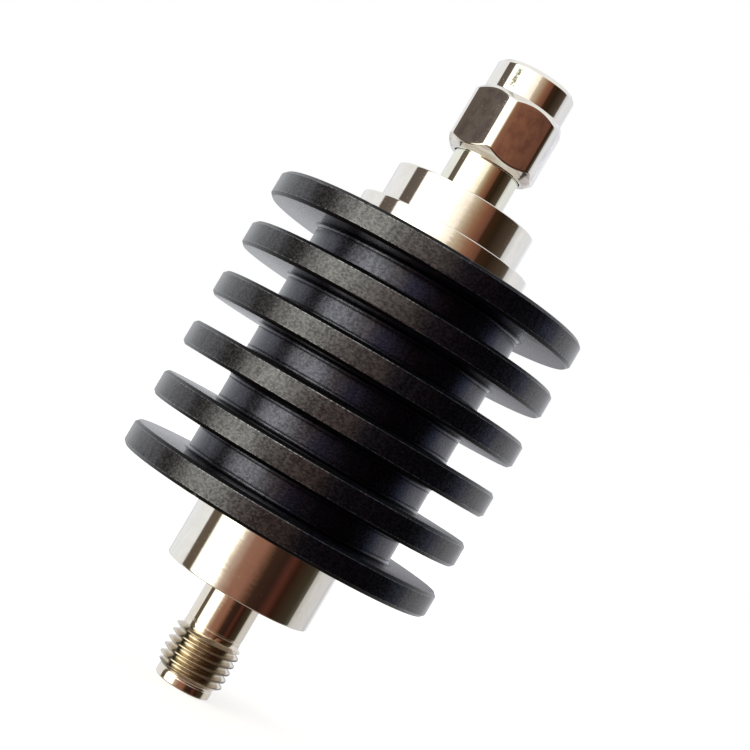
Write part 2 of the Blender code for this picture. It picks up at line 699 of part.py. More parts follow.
def make_ground_spring(bench, name, side):
    """Wavy strip between a ground edge and the upper carrier."""
    width = GROUND_EDGE_WIDTH - 2 * FIT_GAP
    length = CHIP_LENGTH - 2 * SPRING_END_MARGIN
    y_low = Y_TERMINAL_TOP + LAYER_GAP + SPRING_THICKNESS / 2
    y_high = SPRING_HEIGHT - LAYER_GAP - SPRING_THICKNESS / 2
    swing = (y_high - y_low) / 2 - SPRING_THICKNESS / 4
    mesh = bpy.data.meshes.new(name)
    strip = bmesh.new()
    steps = SPRING_WAVES * SPRING_STEPS_PER_WAVE
    bmesh.ops.create_grid(strip, x_segments=1, y_segments=steps, size=0.5)
    x_middle = side * (CHIP_WIDTH / 2 - GROUND_EDGE_WIDTH / 2)
    for vertex in strip.verts:
        along = vertex.co.y + 0.5
        wave = math.cos(math.tau * SPRING_WAVES * along)
        vertex.co = (x_middle + vertex.co.x * width, (y_low + y_high) / 2 + swing * wave, along * length)
    strip.to_mesh(mesh)
    strip.free()
    spring = bench.add(name, mesh, Z_CHIP + SPRING_END_MARGIN)
    wall = spring.modifiers.new("wall", "SOLIDIFY")
    wall.thickness = SPRING_THICKNESS
    wall.offset = 0.0
    bench.finish(spring, "spring_bronze")


def make_carrier(bench, name, side):
    """Half round block in the heat sink's bore. side is -1 below the chip and 1 above it."""
    z_low = Z_LOWER_INNER + SEAT_GAP
    length = Z_UPPER_INNER - SEAT_GAP - z_low
    diameter = SINK_BORE_DIAMETER - 2 * FIT_GAP
    carrier = bench.add(name, rod_mesh(name, diameter, length, SINK_STEPS), z_low)
    chip_x = CHIP_WIDTH / 2 + FIT_GAP
    chip_z = (Z_CHIP - SEAT_GAP - z_low, Z_CHIP_TOP + SEAT_GAP - z_low)
    split = FIT_GAP / 2
    if side < 0:
        boxes = {
            "other_half": ((-diameter, -split, -length), (diameter, diameter, 2 * length)),
            "chip_pocket": ((-chip_x, Y_CHIP_BACK - LAYER_GAP, chip_z[0]), (chip_x, diameter, chip_z[1])),
        }
    else:
        channel_x = CHIP_WIDTH / 2 - GROUND_EDGE_WIDTH
        boxes = {
            "other_half": ((-diameter, -diameter, -length), (diameter, split, 2 * length)),
            "spring_recess": ((-chip_x, -diameter, chip_z[0]), (chip_x, SPRING_HEIGHT, chip_z[1])),
            "air_channel": ((-channel_x, -diameter, chip_z[0]), (channel_x, AIR_CHANNEL_HEIGHT, chip_z[1])),
        }
    for label, (low, high) in boxes.items():
        cutter_name = name + "_" + label
        cut(carrier, bench.add_cutter(cutter_name, block_mesh(cutter_name, low, high), z_low))
    for label, z_line in (("_lower_air_line", Z_CHIP - length), ("_upper_air_line", Z_CHIP_TOP)):
        line = rod_mesh(name + label, AIR_LINE_DIAMETER, length, CONTACT_STEPS)
        cut(carrier, bench.add_cutter(name + label, line, z_line))
    bench.finish(carrier, "aluminium")


def main():
    """Build every piece, from the heat sink in to the chip."""
    clear_scene()
    bench = Bench()
    make_heat_sink(bench)
    make_female_end_cap(bench)
    make_male_end_cap(bench)
    make_female_connector_body(bench)
    make_male_connector_body(bench)
    make_coupling_nut(bench)
    make_nut_retaining_ring(bench)
    make_nut_gasket(bench)
    make_male_contact(bench)
    make_female_contact(bench)
    make_tab(bench, "male_contact_tab", Z_CHIP_TOP + CONTACT_TO_CHIP, Z_CHIP_TOP, 1)
    make_tab(bench, "female_contact_tab", Z_CHIP - CONTACT_TO_CHIP, Z_CHIP, -1)
    make_chip(bench)
    make_ground_spring(bench, "ground_spring_left", -1)
    make_ground_spring(bench, "ground_spring_right", 1)
    make_carrier(bench, "carrier_lower", -1)
    make_carrier(bench, "carrier_upper", 1)


main()
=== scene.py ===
"""Looks of an in-line coaxial attenuator: a black finned heat sink between two nickel connectors.

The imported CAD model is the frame. Each outer piece gets a fine surface worked out with numpy in
the place of its faceted solid, and the pieces inside keep their solids. Every one of them gets a
procedural finish. Shapes are in millimetres in this file and become metres in the meshes.
"""
import json
import logging
import math
from dataclasses import dataclass, field
from enum import Enum
from functools import cached_property, reduce
from typing import Any

import bmesh
import bpy
import numpy as np
from mathutils import Matrix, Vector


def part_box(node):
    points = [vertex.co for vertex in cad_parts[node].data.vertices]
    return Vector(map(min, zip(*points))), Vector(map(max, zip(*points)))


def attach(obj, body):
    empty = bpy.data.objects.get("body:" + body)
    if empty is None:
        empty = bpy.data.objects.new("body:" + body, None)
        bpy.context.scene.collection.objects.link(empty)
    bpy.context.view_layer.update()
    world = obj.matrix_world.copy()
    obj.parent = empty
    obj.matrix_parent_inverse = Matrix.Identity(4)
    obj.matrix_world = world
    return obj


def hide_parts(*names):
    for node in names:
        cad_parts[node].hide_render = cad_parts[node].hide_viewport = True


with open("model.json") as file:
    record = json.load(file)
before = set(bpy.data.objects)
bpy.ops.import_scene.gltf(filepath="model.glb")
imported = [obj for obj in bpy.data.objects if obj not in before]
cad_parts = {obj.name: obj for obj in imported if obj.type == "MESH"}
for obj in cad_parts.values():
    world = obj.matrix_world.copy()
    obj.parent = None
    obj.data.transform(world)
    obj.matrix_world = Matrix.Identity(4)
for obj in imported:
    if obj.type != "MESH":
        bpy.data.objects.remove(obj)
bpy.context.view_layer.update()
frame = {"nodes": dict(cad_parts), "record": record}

log = logging.getLogger("rf_attenuator")

MM = 0.001
FULL_TURN = 2 * math.pi
SIXTH_TURN = math.radians(60)
IN_DEGREES = math.degrees(1)
CAP_WEB = 3.0
SEAT_GAP = 0.04
EDGE_MARK = "outer_edge"

Array = np.ndarray
Piece = bpy.types.Object
Socket = bpy.types.NodeSocket
Triple = tuple[float, float, float]
Colour = Triple
Rise = tuple[float, float]
Edges = tuple[float, float, float, float]


# Node trees written as Python expressions


class Sum(Enum):
    """Operations of a Math node that the finishes use."""

    ADD = "ADD"
    TAKE = "SUBTRACT"
    TIMES = "MULTIPLY"
    OVER = "DIVIDE"
    MOST = "MAXIMUM"
    ROOT = "SQRT"
    SINE = "SINE"
    ANGLE = "ARCTAN2"
    ARC_SINE = "ARCSINE"


class Value:
    """A number in a node tree that takes part in Python arithmetic."""

    def __init__(self, graph: "Graph", socket: bpy.types.NodeSocket) -> None:
        """Wrap an output socket of the graph."""
        self.graph = graph
        self.socket = socket

    def __add__(self, other: Any) -> "Value":
        """The sum with a number or a value."""
        return self.graph.math(Sum.ADD, self, other)

    __radd__ = __add__

    def __sub__(self, other: Any) -> "Value":
        """This less a number or a value."""
        return self.graph.math(Sum.TAKE, self, other)

    def __rsub__(self, other: Any) -> "Value":
        """A number less this, such as 1 - mask."""
        return self.graph.math(Sum.TAKE, other, self)

    def __mul__(self, other: Any) -> "Value":
        """The product with a number or a value."""
        return self.graph.math(Sum.TIMES, self, other)

    __rmul__ = __mul__

    def __truediv__(self, other: Any) -> "Value":
        """This divided by a number or a value."""
        return self.graph.math(Sum.OVER, self, other)

    def step(self, low: float, high: float) -> "Value":
        """A soft step from 0 at low to 1 at high."""
        settings = {"interpolation_type": "SMOOTHSTEP"}
        inputs = {"Value": self, "From Min": low, "From Max": high}
        return self.graph.value("ShaderNodeMapRange", settings, inputs)

    def band(self, edges: Edges) -> "Value":
        """1 between the two middle edges, from 0 at the first and to 0 at the last."""
        return self.step(*edges[:2]) * (1 - self.step(*edges[2:]))


class Graph:
    """One node tree, of a material or of the world."""

    def __init__(self, tree: bpy.types.NodeTree) -> None:
        """Start from an empty tree."""
        self.tree = tree
        tree.nodes.clear()

    def node(self, kind: str, settings: dict | None = None, inputs: dict | None = None) -> bpy.types.Node:
        """Add a node.

        Args:
            kind: the node's type.
            settings: its properties, set first. "stops" are a ramp's positions and colours.
            inputs: a number, colour, Value or socket for each input, by name or index.

        Returns:
            The new node.
        """
        node = self.tree.nodes.new(kind)
        for name, setting in (settings or {}).items():
            if name == "stops":
                self._set_stops(node.color_ramp, setting)
            else:
                setattr(node, name, setting)
        for name, given in (inputs or {}).items():
            socket = given.socket if isinstance(given, Value) else given
            if isinstance(socket, bpy.types.NodeSocket):
                self.tree.links.new(socket, node.inputs[name])
            elif isinstance(socket, tuple) and node.inputs[name].type == "RGBA":
                node.inputs[name].default_value = (*socket, 1.0)
            else:
                node.inputs[name].default_value = socket
        return node

    @staticmethod
    def _set_stops(ramp: bpy.types.ColorRamp, stops: list[tuple[float, Colour]]) -> None:
        """Give a ramp its stops, in the order of their positions."""
        while len(ramp.elements) > 1:
            ramp.elements.remove(ramp.elements[-1])
        ramp.elements[0].position = stops[0][0]
        ramp.elements[0].color = (*stops[0][1], 1.0)
        for position, colour in stops[1:]:
            ramp.elements.new(position).color = (*colour, 1.0)

    def value(self, kind: str, settings: dict | None = None, inputs: dict | None = None,
              output: int | str = 0) -> Value:
        """Add a node and wrap one of its outputs."""
        return Value(self, self.node(kind, settings, inputs).outputs[output])

    def math(self, operation: Sum, first: Any, second: Any = 0.0) -> Value:
        """Add a Math node for an operation on two numbers or values."""
        return self.value("ShaderNodeMath", {"operation": operation.value}, {0: first, 1: second})

    def vector(self, operation: str, first: Any, second: Any) -> Socket:
        """Add a Vector Math node and give its vector."""
        node = self.node("ShaderNodeVectorMath", {"operation": operation}, {0: first, 1: second})
        return node.outputs["Vector"]

    def blend(self, share: Any, first: Any, second: Any) -> Socket:
        """A colour between two, or sockets of two, by a share from 0 to 1."""
        node = self.node("ShaderNodeMix", {"data_type": "RGBA"}, {0: share, 6: first, 7: second})
        return node.outputs[2]

    def parts(self, vector: Socket) -> tuple[Value, ...]:
        """The three numbers of a vector."""
        node = self.node("ShaderNodeSeparateXYZ", None, {0: vector})
        return tuple(Value(self, part) for part in node.outputs)

    def join(self, x: Any, y: Any, z: Any) -> Socket:
        """A vector made of three numbers."""
        return self.node("ShaderNodeCombineXYZ", None, {0: x, 1: y, 2: z}).outputs[0]

    def noise(self, vector: Socket, scale: float, detail: float = 2.0, roughness: float = 0.5,
              stretch: Triple | None = None) -> Value:
        """Smooth noise round 0.5, with features about 1 / scale wide, at the vector times the stretch."""
        if stretch:
            vector = self.vector("MULTIPLY", vector, stretch)
        inputs = {"Vector": vector, "Scale": scale, "Detail": detail, "Roughness": roughness}
        return self.value("ShaderNodeTexNoise", None, inputs)

    def edge(self) -> Value:
        """The mark, from 0 to 1, that a piece's mesh carries on its outer edges."""
        return self.value("ShaderNodeAttribute", {"attribute_name": EDGE_MARK}, None, "Fac")

    def relief(self, height: Value) -> Socket:
        """The normal of a surface with a fine relief, whose height is in millimetres."""
        return self.node("ShaderNodeBump", None, {"Distance": MM, "Height": height}).outputs["Normal"]

    def surface(self, inputs: dict[str, Any]) -> None:
        """End a material in a Principled shader with the given inputs."""
        shader = self.node("ShaderNodeBsdfPrincipled", None, inputs)
        self.node("ShaderNodeOutputMaterial", None, {"Surface": shader.outputs[0]})


class Place:
    """The place on the object in millimetres, and what is worked out from it."""

    def __init__(self, graph: Graph) -> None:
        """Read the place in a material's tree."""
        here = graph.node("ShaderNodeTexCoord").outputs["Object"]
        self.graph = graph
        self.vector = graph.vector("MULTIPLY", here, (1 / MM, 1 / MM, 1 / MM))
        self.x, self.y, self.z = graph.parts(self.vector)

    @cached_property
    def radius(self) -> Value:
        """The distance from the axis, the root of x² + y²."""
        return self.graph.math(Sum.ROOT, self.x * self.x + self.y * self.y)

    @cached_property
    def bearing(self) -> Value:
        """The angle round the axis from +X, in degrees."""
        return self.graph.math(Sum.ANGLE, self.y, self.x) * IN_DEGREES

    def noise(self, scale: float, detail: float, roughness: float, stretch: Triple | None = None) -> Value:
        """The graph's noise at this place."""
        return self.graph.noise(self.vector, scale, detail, roughness, stretch)

    def lathe_marks(self, pitch: float, seed: float = 0.0) -> Value:
        """Fine rings that a lathe leaves.

        Noise is read at (x / 2.5, y / 2.5, (z + 0.7 r) / pitch). It changes slowly round the
        axis, and quickly along a cylinder or across a face.
        """
        along = (self.z + self.radius * 0.7) / pitch + seed
        return self.graph.noise(self.graph.join(self.x / 2.5, self.y / 2.5, along), 1.0, 1.0, 0.4)


# Finishes. Their bands are radii, stations and, for bearings, degrees


class Finish:
    """A surface finish. Each kind paints a node tree, and its material is made once."""

    name: str
    slot: str

    def material(self) -> bpy.types.Material:
        """The finish's material, made at its first use."""
        made = bpy.data.materials.get(self.name)
        if made is None:
            made = bpy.data.materials.new(self.name)
            made.use_nodes = True
            self.paint(Graph(made.node_tree))
        return made

    def paint(self, graph: Graph) -> None:
        """Fill the node tree."""
        raise NotImplementedError


@dataclass(frozen=True)
class BlackAnodised(Finish):
    """Black anodising on fine-blasted aluminium, worn a little on the outer edges, with painted shade and
    highlights.
    """

    name: str = "black_anodising"
    slot: str = "black_anodised"
    rim_colour: Colour = (0.049, 0.048, 0.056)
    shaded_core_colour: Colour = (0.041, 0.041, 0.060)
    wear_and_highlight_colour: Colour = (0.26, 0.262, 0.29)
    in_hollows: Colour = (0.24, 0.24, 0.27)
    on_grains: Colour = (2.02, 2.03, 1.93)
    front_shade_tint: Colour = (0.48, 0.55, 0.84)
    grain: float = 0.27
    core_to_rim: Rise = (11.0, 14.0)
    between_ends: Edges = (15.62, 15.68, 42.52, 42.58)
    chamfer: Edges = (14.68, 14.76, 14.93, 14.99)
    root: Edges = (10.06, 10.12, 10.30, 10.40)
    bead: Edges = (10.01, 10.03, 10.10, 10.14)
    wear: Rise = (14.72, 14.90)
    front_shade_starts: Rise = (-88.0, -78.0)
    front_shade_ends: Rise = (-42.0, -32.0)

    def paint(self, graph: Graph) -> None:
        """Blast grain in colour, roughness and relief, a dotted line of wear along the rims' edges, and
        painted shade and highlights.
        """
        place = Place(graph)
        radius = place.radius
        off_ends = place.z.band(self.between_ends)
        on_rim = radius.step(*self.core_to_rim)
        grain = place.noise(1 / self.grain, 2.0, 0.5, stretch=(1.0, 1.0, 1.5))
        dust = place.noise(3.0 / self.grain, 1.0, 0.5)
        cloud = place.noise(0.35, 3.0, 0.6)
        strokes = place.noise(1.0, 2.0, 0.5, stretch=(2.6, 2.6, 0.5)).step(0.3, 0.7)
        speckle = grain.step(0.38, 0.64) * 0.70 + dust.step(0.36, 0.66) * 0.30
        # Painted shade: the core between the fins is a little darker and bluer than the rims, over the
        # anodising's own black.
        dye_and_core_shade = graph.blend(on_rim, self.shaded_core_colour, self.rim_colour)
        dark, light = (graph.vector("MULTIPLY", dye_and_core_shade, tone) for tone in (self.in_hollows, self.on_grains))
        body = graph.blend(speckle * 0.62 + cloud.step(0.3, 0.7) * 0.16 + strokes * 0.22, dark, light)
        # Painted shade: the fins' chamfers and root fillets are painted nearly black, with less coat.
        shaded = radius.band(self.chamfer) + radius.band(self.root) * off_ends
        body = graph.blend(shaded * 0.92, body, (0.0, 0.0, 0.0))
        # Painted shade: from a bearing of about -88 degrees round to about -32, where the fins mirror the
        # studio's dark cards, they are painted darker and bluer, with less coat.
        front_painted_shade = (place.bearing + (1 - on_rim) * 12).step(*self.front_shade_starts)
        front_painted_shade = front_painted_shade * (1 - place.bearing.step(*self.front_shade_ends)) * off_ends
        body = graph.blend(front_painted_shade, body, graph.vector("MULTIPLY", body, self.front_shade_tint))
        # Painted highlight: the fine bead beside each fin's root is painted lighter, as a thin line of light
        # along it.
        bead = radius.band(self.bead) * off_ends
        body = graph.blend(bead * (0.10 + cloud * 0.20), body, self.wear_and_highlight_colour)
        rub = place.noise(0.55, 3.0, 0.65).step(0.38, 0.60)
        dots = place.noise(4.6, 2.0, 0.6).step(0.44, 0.60)
        # The wear line is dimmer where the front is painted in shade.
        worn = graph.edge() * radius.step(*self.wear) * (0.35 + rub * 0.65) * dots * (1 - front_painted_shade * 0.6)
        graph.surface({
            "Base Color": graph.blend(worn, body, self.wear_and_highlight_colour),
            "Metallic": 0.97,
            "Roughness": 0.24 + speckle * 0.05 + cloud * 0.03 + worn * 0.08,
            "Coat Weight": (0.30 - front_painted_shade * 0.24) * (1 - shaded * 0.85),
            "Coat Roughness": 0.16,
            "Normal": graph.relief(grain * 0.012 + dust * 0.0012),
        })


@dataclass(frozen=True)
class PolishedNickel(Finish):
    """Bright nickel plate on turned brass, with lathe marks, faint tarnish and a few fine pits."""

    name: str = "polished_nickel"
    slot: str = "nickel"
    colour: Colour = (0.88, 0.86, 0.81)
    tarnish: Colour = (0.72, 0.60, 0.45)
    roughness: float = 0.04
    marks_pitch: float = 0.32
    marks_depth: float = 0.003
    wave_depth: float = 0.0
    mottle: float = 0.12
    mottled: Colour = (0.60, 0.52, 0.44)
    tarnish_share: float = 0.30
    grime_and_shade_tone: Colour = (0.40, 0.34, 0.25)
    dulled_roughness: float = 0.0
    scuff_and_shade_tone: Colour = (0.075, 0.072, 0.064)
    seed: float = 0.0

    def grime_and_painted_shade(self, place: Place) -> Value | float:
        """The share of the plate painted dull and brown, for grime and for painted shade, none on a plain
        turned piece.
        """
        return 0.0

    def scuff_and_painted_shade(self, place: Place) -> Value | float:
        """Where the plate is rubbed dark, and where shade is painted on it, nowhere on a plain turned piece.
        """
        return 0.0

    def clouding(self, place: Place) -> Value | float:
        """How strongly the plate is mottled, the same all over a plain turned piece."""
        return self.mottle

    def paint(self, graph: Graph) -> None:
        """Lathe marks in the relief and the roughness, and tarnish, grime, rubs and painted shade in the
        colour.
        """
        place = Place(graph)
        moved = graph.vector("ADD", place.vector, (self.seed, 1.7 * self.seed, 0.0))
        marks = place.lathe_marks(self.marks_pitch, self.seed)
        fine = place.lathe_marks(self.marks_pitch / 4, self.seed + 5.0)
        haze = graph.noise(moved, 0.45, 4.0, 0.6)
        swell = graph.noise(moved, 0.5, 0.0)
        pits = graph.noise(moved, 9.0, 2.0, 0.5).step(0.72, 0.80)
        stain = haze.step(0.42, 0.75) * graph.noise(moved, 2.6, 5.0, 0.65).step(0.35, 0.70)
        clouds = graph.noise(moved, 1.0, 4.0, 0.62, stretch=(1.3, 1.3, 0.9)).step(0.36, 0.66)
        plate = graph.blend(clouds * self.clouding(place), self.colour, self.mottled)
        # Grime, and shade and reflection painted in dull brown where a finish gives them.
        dull = self.grime_and_painted_shade(place)
        plate = graph.blend(dull, plate, self.grime_and_shade_tone)
        # Rubs, and shade and reflection painted near black where a finish gives them.
        plate = graph.blend(self.scuff_and_painted_shade(place), plate, self.scuff_and_shade_tone)
        hazy = haze.step(0.4, 0.8) * 0.03 + fine * 0.03 + stain * 0.04
        rubbed = graph.edge().step(0.2, 0.9) * 0.02
        graph.surface({
            "Base Color": graph.blend(stain * self.tarnish_share + pits * 0.12, plate, self.tarnish),
            "Metallic": 1.0,
            "Roughness": self.roughness + hazy - rubbed + dull * self.dulled_roughness,
            "Normal": graph.relief(marks * self.marks_depth + swell * self.wave_depth - pits * 0.003),
        })


@dataclass(frozen=True)
class NutNickel(PolishedNickel):
    """Nickel on the coupling nut: a painted reflection in dull brown behind the flats, mottled on them and
    rubbed dark on the collar.
    """

    cone: Rise = (48.48, 48.56)
    flats: Edges = (52.70, 52.85, 57.60, 57.75)
    flat_middles: Edges = (3.90, 3.98, 4.22, 4.34)
    collar: Edges = (58.2, 58.7, 60.2, 60.7)
    scuff_side: float = math.radians(-26.5)

    def grime_and_painted_shade(self, place: Place) -> Value:
        """Painted reflection of the neck and cap on the rear cone, whose station less its radius is the same
        all over, in uneven streaks.
        """
        streaks = place.noise(1.0, 2.0, 0.5, stretch=(0.7, 0.7, 4.0)).step(0.30, 0.70)
        # Painted reflection of the dark neck and cap in the rear cone.
        return (1 - (place.z - place.radius).step(*self.cone)) * (0.16 + streaks * 0.40)

    def scuff_and_painted_shade(self, place: Place) -> Value:
        """One broken dark rub down the collar.

        It wanders to each side of the plane through the axis in which x cos(s) + y sin(s)
        is nothing, where s is the scuff's side.
        """
        wander = place.noise(1.0, 1.0, 0.5, stretch=(0.0, 0.0, 0.5)) * 0.6 - 0.3
        off = place.x * math.cos(self.scuff_side) + place.y * math.sin(self.scuff_side) + wander
        broken = place.noise(3.8, 4.0, 0.75).step(0.32, 0.52)
        front = (0 - place.y).step(1.0, 2.0)
        return (1 - (off * off).step(0.01, 0.14)) * place.z.band(self.collar) * broken * front

    def clouding(self, place: Place) -> Value:
        """Strong on the middle of each flat, weak on the turned parts."""
        return place.radius.band(self.flat_middles) * place.z.band(self.flats) * self.mottle + 0.06


@dataclass(frozen=True)
class ThreadNickel(PolishedNickel):
    """Nickel on a threaded socket, dull and yellowed along the thread by grime and painted shade, and painted
    darker on its crests, its left and its run-out.
    """

    dulled_length: Edges = (0.95, 1.10, 4.95, 5.10)
    shaded_length: Edges = (0.95, 1.05, 5.00, 5.10)
    outside: Rise = (2.50, 2.55)
    crests: Rise = (2.96, 3.10)
    right: Rise = (1.9, 2.6)
    left_line: Edges = (-136.0, -133.0, -129.0, -126.0)
    run_out: Rise = (1.25, 1.45)
    run_out_bearings: Edges = (-175.0, -160.0, -126.0, -112.0)

    def grime_and_painted_shade(self, place: Place) -> Value:
        """Grime between the thread's ends, in patches, with painted shade that makes it strongest towards the
        front.
        """
        patchy = place.noise(1.8, 3.0, 0.6).step(0.3, 0.7)
        # Painted shade: the dulling grows towards the front, over patchy grime all round.
        front = 0.36 + (0 - place.y).step(0.9, 2.5) * 0.64
        outside = place.z.band(self.dulled_length) * place.radius.step(*self.outside)
        return outside * front * (0.62 + patchy * 0.38)

    def scuff_and_painted_shade(self, place: Place) -> Value:
        """Painted shade on the crests of the thread's right, a painted reflection of the studio's dark band
        down its left, and a darker run-out.
        """
        # Painted shade and reflection on the thread: dark right crests, a dark line down the left and a darker
        # run-out.
        crests = place.radius.step(*self.crests) * place.x.step(*self.right) * 0.8
        line = place.bearing.band(self.left_line) * 0.75
        dark_run_out = (1 - place.z.step(*self.run_out)) * place.bearing.band(self.run_out_bearings) * 0.7
        outside = place.z.band(self.shaded_length) * place.radius.step(*self.outside)
        return outside * place.graph.math(Sum.MOST, crests + line, dark_run_out)


@dataclass(frozen=True)
class Texture:
    """Noise, and what it adds to the shade, to the roughness and, in millimetres, to the relief."""

    scale: float = 1.0
    detail: float = 3.0
    coarse: float = 0.6
    stretch: Triple | None = None
    shade: float = 0.0
    rough: float = 0.0
    height: float = 0.0

    def at(self, place: Place) -> Value:
        """The texture at a place, from 0 to 1."""
        return place.noise(self.scale, self.detail, self.coarse, self.stretch)


@dataclass(frozen=True)
class LatheMarks(Texture):
    """Fine rings that a lathe leaves."""

    pitch: float = 0.06

    def at(self, place: Place) -> Value:
        """The rings at a place."""
        return place.lathe_marks(self.pitch)


@dataclass(frozen=True)
class Weave(Texture):
    """The faint weave that a printing screen leaves."""

    pitch: float = 0.09

    def at(self, place: Place) -> Value:
        """Half of 1 + sin(2 π x / pitch) · sin(2 π z / pitch)."""
        turns = FULL_TURN / self.pitch
        across, along = (place.graph.math(Sum.SINE, way * turns) for way in (place.x, place.z))
        return across * along * 0.5 + 0.5


@dataclass(frozen=True)
class TwoTone(Finish):
    """A tone that clouds into a shade, with the marks of the making over it."""

    name: str
    slot: str
    tone: Colour
    shade: Colour
    clouds: Texture
    marks: Texture
    cloud_edge: Rise = (0.35, 0.75)
    metallic: float = 1.0
    roughness: float = 0.3
    specular: float = 0.5

    def paint(self, graph: Graph) -> None:
        """Clouds and marks, each by its own shares, in the colour, the roughness and the relief."""
        place = Place(graph)
        clouds, marks = self.clouds.at(place), self.marks.at(place)
        shade = clouds.step(*self.cloud_edge) * self.clouds.shade + marks * self.marks.shade
        graph.surface({
            "Base Color": graph.blend(shade, self.tone, self.shade),
            "Metallic": self.metallic,
            "Roughness": self.roughness + clouds * self.clouds.rough + marks * self.marks.rough,
            "Specular IOR Level": self.specular,
            "Normal": graph.relief(clouds * self.clouds.height + marks * self.marks.height),
        })


ANODISED = BlackAnodised()
CAP_NICKEL = PolishedNickel(name="cap_nickel", seed=3.0)
NUT_NICKEL = NutNickel(
    name="nut_nickel", seed=11.0, tarnish_share=0.18, wave_depth=0.008, mottle=0.55,
    mottled=(0.45, 0.41, 0.46), grime_and_shade_tone=(0.34, 0.22, 0.11), dulled_roughness=0.08,
)
PLUG_NICKEL = PolishedNickel(name="plug_nickel", seed=19.0, colour=(0.87, 0.875, 0.76))
SOCKET_NICKEL = ThreadNickel(
    name="socket_nickel", seed=27.0, colour=(0.86, 0.80, 0.70), tarnish=(0.72, 0.56, 0.36),
    grime_and_shade_tone=(0.45, 0.38, 0.28), dulled_roughness=0.20,
)
GOLD = TwoTone(
    "contact_gold", "gold", tone=(0.92, 0.68, 0.29), shade=(0.78, 0.52, 0.20), roughness=0.16,
    clouds=Texture(1.6, shade=0.6, rough=0.08, height=0.002),
    marks=LatheMarks(pitch=0.06, rough=0.06, height=0.002),
)
WHITE_BUSH = TwoTone(
    "white_fluoroplastic", "fluoroplastic", tone=(0.86, 0.86, 0.83), shade=(0.76, 0.755, 0.72),
    metallic=0.0, roughness=0.38, specular=0.45, cloud_edge=(0.35, 0.8),
    clouds=Texture(0.9, coarse=0.55, shade=0.5),
    marks=LatheMarks(pitch=0.09, shade=0.2, rough=0.12, height=0.006),
)
RED_SEAL = TwoTone(
    "red_silicone", "silicone", tone=(0.42, 0.105, 0.060), shade=(0.30, 0.070, 0.045),
    metallic=0.0, roughness=0.52, cloud_edge=(0.3, 0.75),
    clouds=Texture(1.2, detail=2.0, coarse=0.5, shade=1.0), marks=Texture(7.0, rough=0.16, height=0.010),
)
BRONZE = TwoTone(
    "spring_bronze", "spring_bronze", tone=(0.72, 0.46, 0.24), shade=(0.50, 0.30, 0.15), roughness=0.24,
    clouds=Texture(1.1, shade=0.7),
    marks=Texture(stretch=(22.0, 22.0, 0.6), shade=0.15, rough=0.14, height=0.002),
)
BARE_ALUMINIUM = TwoTone(
    "milled_aluminium", "aluminium", tone=(0.80, 0.81, 0.82), shade=(0.62, 0.63, 0.65), roughness=0.27,
    clouds=Texture(0.6, detail=4.0, coarse=0.65, shade=0.6, rough=0.06),
    marks=Texture(stretch=(0.5, 3.0, 8.0), shade=0.3, rough=0.16, height=0.005),
)
CHIP_CERAMIC = TwoTone(
    "white_ceramic", "ceramic", tone=(0.82, 0.81, 0.77), shade=(0.70, 0.68, 0.63),
    metallic=0.0, roughness=0.46, cloud_edge=(0.4, 0.75),
    clouds=Texture(12.0, detail=4.0, coarse=0.7, shade=0.5, rough=0.16, height=0.003),
    marks=Texture(0.8, detail=2.0, coarse=0.5, shade=0.3),
)
INK = Texture(14.0, coarse=0.7, shade=0.7, rough=0.14, height=0.002)
SCREEN = Weave(shade=0.2, rough=0.05, height=0.0015)
FILM_PRINT = TwoTone(
    "resistor_print", "resistor", tone=(0.050, 0.062, 0.056), shade=(0.085, 0.095, 0.085),
    clouds=INK, marks=SCREEN, metallic=0.0, roughness=0.34,
)
SILVER_PRINT = TwoTone(
    "silver_print", "silver", tone=(0.80, 0.79, 0.75), shade=(0.62, 0.60, 0.55),
    clouds=INK, marks=SCREEN, roughness=0.26,
)


# Surfaces worked out with numpy


def even_angles(count: int) -> Array:
    """Angles evenly round the axis, without the last that would repeat the first."""
    return np.arange(count) * (FULL_TURN / count)


